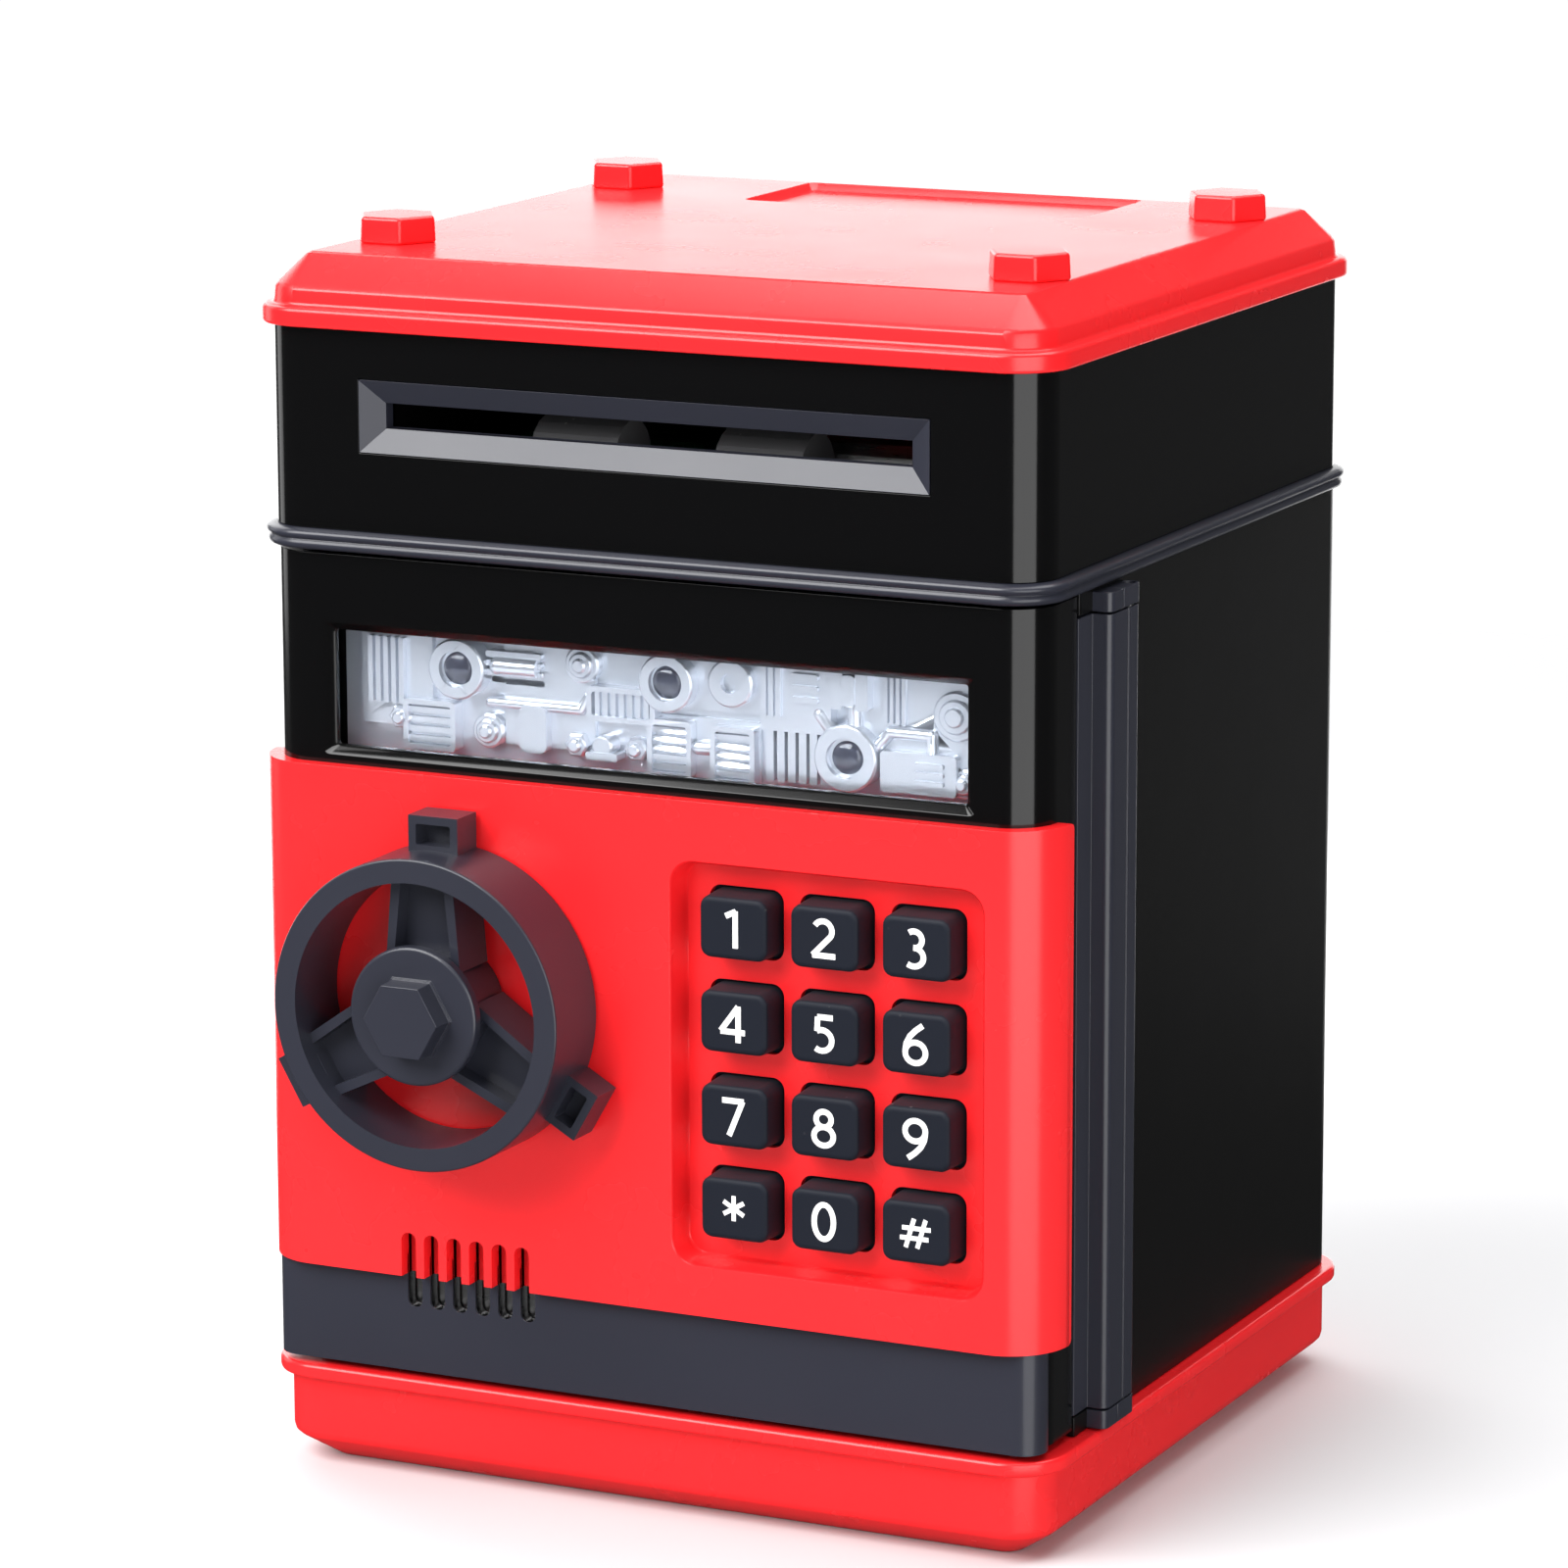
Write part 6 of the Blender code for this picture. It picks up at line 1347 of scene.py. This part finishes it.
class TOYSAFE_OT_hinge(bpy.types.Operator):
    """The hinge leaf: flange, web and the upright bar that shows beside the door"""
    bl_idname = "toysafe.hinge"
    bl_label = "Hinge leaf"

    def execute(self, context):
        bar_half = 1.4 * MM
        low, high = LEAF[0].z, LEAF[1].z
        outer = HINGE.x + bar_half
        right = MID.x + SIDE
        front = HINGE.y - 9.4 * MM
        flange = box((LEAF[0].x, LEAF[0].y, low), (LEAF[0].x + 2.0 * MM, SHELL[1].y + 2.3 * MM, high))
        web = box((LEAF[0].x, SHELL[1].y + 0.15 * MM, low), (right, SHELL[1].y + 2.3 * MM, high))
        side = box((right - 2.0 * MM, SHELL[1].y + 0.15 * MM, low), (right, front + 1.5 * MM, high))
        bar = box((right - 0.2 * MM, front, low), (outer, HINGE.y, high), 1.2 * MM, "Z",
                  lambda middle: middle.x > right and middle.y < front + MM, 8)
        barrel = rod("Z", HINGE, bar_half, low, high, 48)
        bottom, top = low - OVERCUT, high + OVERCUT
        groove = box((outer - 0.25 * MM, HINGE.y - 3.4 * MM, bottom), (outer + MM, HINGE.y - 3.0 * MM, top))
        bore = rod("Z", HINGE, 0.95 * MM, bottom, top, 20)
        shape = worked(flange, ("join", web), ("join", side), ("join", bar), ("join", barrel),
                       ("cut", groove), ("cut", bore))
        piece("hinge_bar", shape, finish("slate_plastic"), "door", ["hinge_leaf"],
              soft=0.12 * MM)
        return {"FINISHED"}


# ---- the inside ----------------------------------------------------------------------------------
class TOYSAFE_OT_inside(bpy.types.Operator):
    """The door's ribbed back cover, its screws, and finishes for the works inside"""
    bl_idname = "toysafe.inside"
    bl_label = "Inside"

    def execute(self, context):
        low, high = BACKING
        plate_shape = box(low, high, 1.0 * MM, "Y", None, 4)
        steps = [("cut", rod("Y", AXIS, SHAFT_HOLE, low.y - OVERCUT, high.y + OVERCUT, 40))]
        for node in COVER_SCREWS:
            place = (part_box(node)[0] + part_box(node)[1]) / 2
            steps.append(("cut", rod("Y", place, 1.6 * MM, low.y - MM, high.y + MM, 32)))
        cover = worked(plate_shape, *steps)
        piece("door_backing", cover, finish("black_satin"), "door", ["door_back_cover"],
              soft=0.2 * MM)
        inset, proud, thick = 14 * MM, 0.9 * MM, 1.4 * MM
        for number, share in enumerate((0.12, 0.88), 1):
            z = low.z + (high.z - low.z) * share
            rib = box((low.x + inset, high.y - 0.3 * MM, z), (high.x - inset, high.y + proud, z + thick))
            piece(f"backing_rib_{number}", rib, finish("black_satin"), "door",
                  soft=0.15 * MM)
        for node in COVER_SCREWS:
            corner_low, corner_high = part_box(node)
            screw_head(f"{node}_head", (corner_low + corner_high) / 2, high.y + 0.05 * MM, corner_high.y,
                       (corner_high.x - corner_low.x) / 2, "door", [node], "Y", 1)
        self.paint()
        return {"FINISHED"}

    def paint(self):
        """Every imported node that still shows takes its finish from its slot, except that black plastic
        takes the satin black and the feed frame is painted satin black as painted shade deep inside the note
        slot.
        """
        slots = {row["node"]: row["material_slot"] for row in frame["record"]["subparts"]}
        for node, obj in frame["nodes"].items():
            if obj.hide_render:
                continue
            # The feed frame is painted black as painted shade, so the inside of the note slot looks as dark
            # as deep shade.
            black_or_painted_shade = slots[node] == "black_plastic" or node == "feed_frame"
            name = "black_satin" if black_or_painted_shade else slots[node]
            obj.data.materials.clear()
            obj.data.materials.append(finish(name))


# ---- the studio ----------------------------------------------------------------------------------
class TOYSAFE_OT_stage(bpy.types.Operator):
    """A pale floor, soft lights and the camera"""
    bl_idname = "toysafe.stage"
    bl_label = "Studio"

    def execute(self, context):
        self.floor()
        self.world()
        self.lights()
        self.camera()
        context.scene.view_settings.view_transform = "Standard"
        return {"FINISHED"}

    def floor(self):
        """A round pale sheet that fades out well away from the piece."""
        reach = 1.5
        shape = bmesh.new()
        bmesh.ops.create_circle(shape, cap_ends=True, segments=96, radius=reach)
        data = bpy.data.meshes.new("floor")
        shape.to_mesh(data)
        shape.free()
        obj = bpy.data.objects.new("floor", data)
        bpy.context.scene.collection.objects.link(obj)
        material, tree, shader = started("floor_paper")
        base = tuple(colours().floor)
        tone = mixed(tree, noise(tree, 6.0, 4.0), tuple(channel * 0.99 for channel in base), base)
        tree.links.new(tone, shader.inputs["Base Color"])
        away = add(tree, "ShaderNodeVectorMath", operation="LENGTH")
        tree.links.new(add(tree, "ShaderNodeTexCoord").outputs["Object"], away.inputs[0])
        fade = add(tree, "ShaderNodeMapRange", interpolation_type="SMOOTHSTEP", To_Min=1.0, To_Max=0.0,
                   From_Min=0.35, From_Max=reach * 0.6)
        tree.links.new(away.outputs["Value"], fade.inputs["Value"])
        tree.links.new(fade.outputs["Result"], shader.inputs["Alpha"])
        shader.inputs["Roughness"].default_value = 0.9
        shader.inputs["Specular IOR Level"].default_value = 0.1
        data.materials.append(material)
        obj.location.z = -0.05 * MM
        obj.visible_glossy = False

    def world(self):
        """A dim even room for what the piece reflects, and a pale one behind it for the camera."""
        world = bpy.data.worlds.new("studio")
        bpy.context.scene.world = world
        world.use_nodes = True
        tree = world.node_tree
        seen = add(tree, "ShaderNodeLightPath").outputs["Is Camera Ray"]
        strength = maths(tree, "ADD", maths(tree, "MULTIPLY", seen, 0.98), 0.07)
        tree.links.new(strength, tree.nodes["Background"].inputs["Strength"])
        tree.nodes["Background"].inputs["Color"].default_value = (1.0, 1.0, 1.0, 1.0)

    def lights(self):
        """Softboxes: azimuth, elevation, distance, width, height, radiance and the height of the aim."""
        for name, azimuth, elevation, distance, width, height, radiance, aim in (
                ("key", -30, 41, 1.3, 1.1, 1.0, 9.0, 0.1),
                ("strip", 48, 4, 0.9, 0.85, 0.8, 3.4, 0.06),
                ("overhead", 150, 76, 1.2, 1.3, 1.1, 4.0, 0.1),
                ("backdrop", 205, 0, 0.42, 0.62, 0.35, 2.6, 0.11),
                ("rear_fill", 235, 32, 1.5, 0.8, 0.8, 3.0, 0.1),
                ("left_fill", -95, 12, 1.3, 0.5, 1.0, 1.6, 0.1)):
            data = bpy.data.lights.new(name, "AREA")
            data.shape = "RECTANGLE"
            data.size = width
            data.size_y = height
            data.energy = radiance * math.pi * width * height
            obj = bpy.data.objects.new(name, data)
            bpy.context.scene.collection.objects.link(obj)
            back = direction_of(math.radians(azimuth), math.radians(elevation))
            obj.location = Vector((MID.x, MID.y, aim)) + back * distance
            obj.rotation_mode = "QUATERNION"
            obj.rotation_quaternion = (-back).to_track_quat("-Z", "Y")
            obj.visible_camera = False

    def camera(self):
        studio = bpy.context.scene.toy_safe_studio
        data = bpy.data.cameras.new("camera")
        data.lens = studio.lens
        data.sensor_width = 36.0
        data.clip_start = 0.05
        data.clip_end = 60.0
        obj = bpy.data.objects.new("camera", data)
        bpy.context.scene.collection.objects.link(obj)
        back = direction_of(studio.azimuth, studio.elevation)
        aim = Vector((MID.x + studio.aim_x, MID.y, studio.aim_z))
        obj.location = aim + back * studio.distance
        turn = (-back).to_track_quat("-Z", "Y").to_matrix() @ Matrix.Rotation(studio.roll, 3, "Z")
        obj.rotation_mode = "QUATERNION"
        obj.rotation_quaternion = turn.to_quaternion()
        bpy.context.scene.camera = obj


def direction_of(azimuth, elevation):
    """From the middle towards a place at that azimuth, measured from the front to the right."""
    return Vector((math.sin(azimuth) * math.cos(elevation), -math.cos(azimuth) * math.cos(elevation),
                   math.sin(elevation)))


OPERATORS = (TOYSAFE_OT_lid, TOYSAFE_OT_lid_bolts, TOYSAFE_OT_housing, TOYSAFE_OT_body, TOYSAFE_OT_base,
             TOYSAFE_OT_door, TOYSAFE_OT_panel, TOYSAFE_OT_keys, TOYSAFE_OT_window, TOYSAFE_OT_wheel,
             TOYSAFE_OT_hinge, TOYSAFE_OT_inside, TOYSAFE_OT_stage)


class TOYSAFE_PT_panel(bpy.types.Panel):
    """Lists the sizes, the colours and the pieces"""
    bl_idname = "TOYSAFE_PT_panel"
    bl_label = "Toy safe"
    bl_space_type = "VIEW_3D"
    bl_region_type = "UI"
    bl_category = "Toy Safe"

    def draw(self, context):
        layout = self.layout
        for settings in (context.scene.toy_safe_sizes, context.scene.toy_safe_colours,
                         context.scene.toy_safe_studio):
            column = layout.column(align=True)
            for name in settings.bl_rna.properties.keys():
                if name not in ("rna_type", "name"):
                    column.prop(settings, name)
        for operator in OPERATORS:
            layout.operator(operator.bl_idname)


CLASSES = (ToySafeSizes, ToySafeColours, ToySafeStudio, *OPERATORS, TOYSAFE_PT_panel)


def register():
    for made in CLASSES:
        bpy.utils.register_class(made)
    bpy.types.Scene.toy_safe_sizes = PointerProperty(type=ToySafeSizes)
    bpy.types.Scene.toy_safe_colours = PointerProperty(type=ToySafeColours)
    bpy.types.Scene.toy_safe_studio = PointerProperty(type=ToySafeStudio)


def unregister():
    del bpy.types.Scene.toy_safe_studio
    del bpy.types.Scene.toy_safe_colours
    del bpy.types.Scene.toy_safe_sizes
    for made in reversed(CLASSES):
        bpy.utils.unregister_class(made)


def main():
    register()
    for operator in OPERATORS:
        family, name = operator.bl_idname.split(".")
        getattr(getattr(bpy.ops, family), name)()


if __name__ == "__main__":
    main()
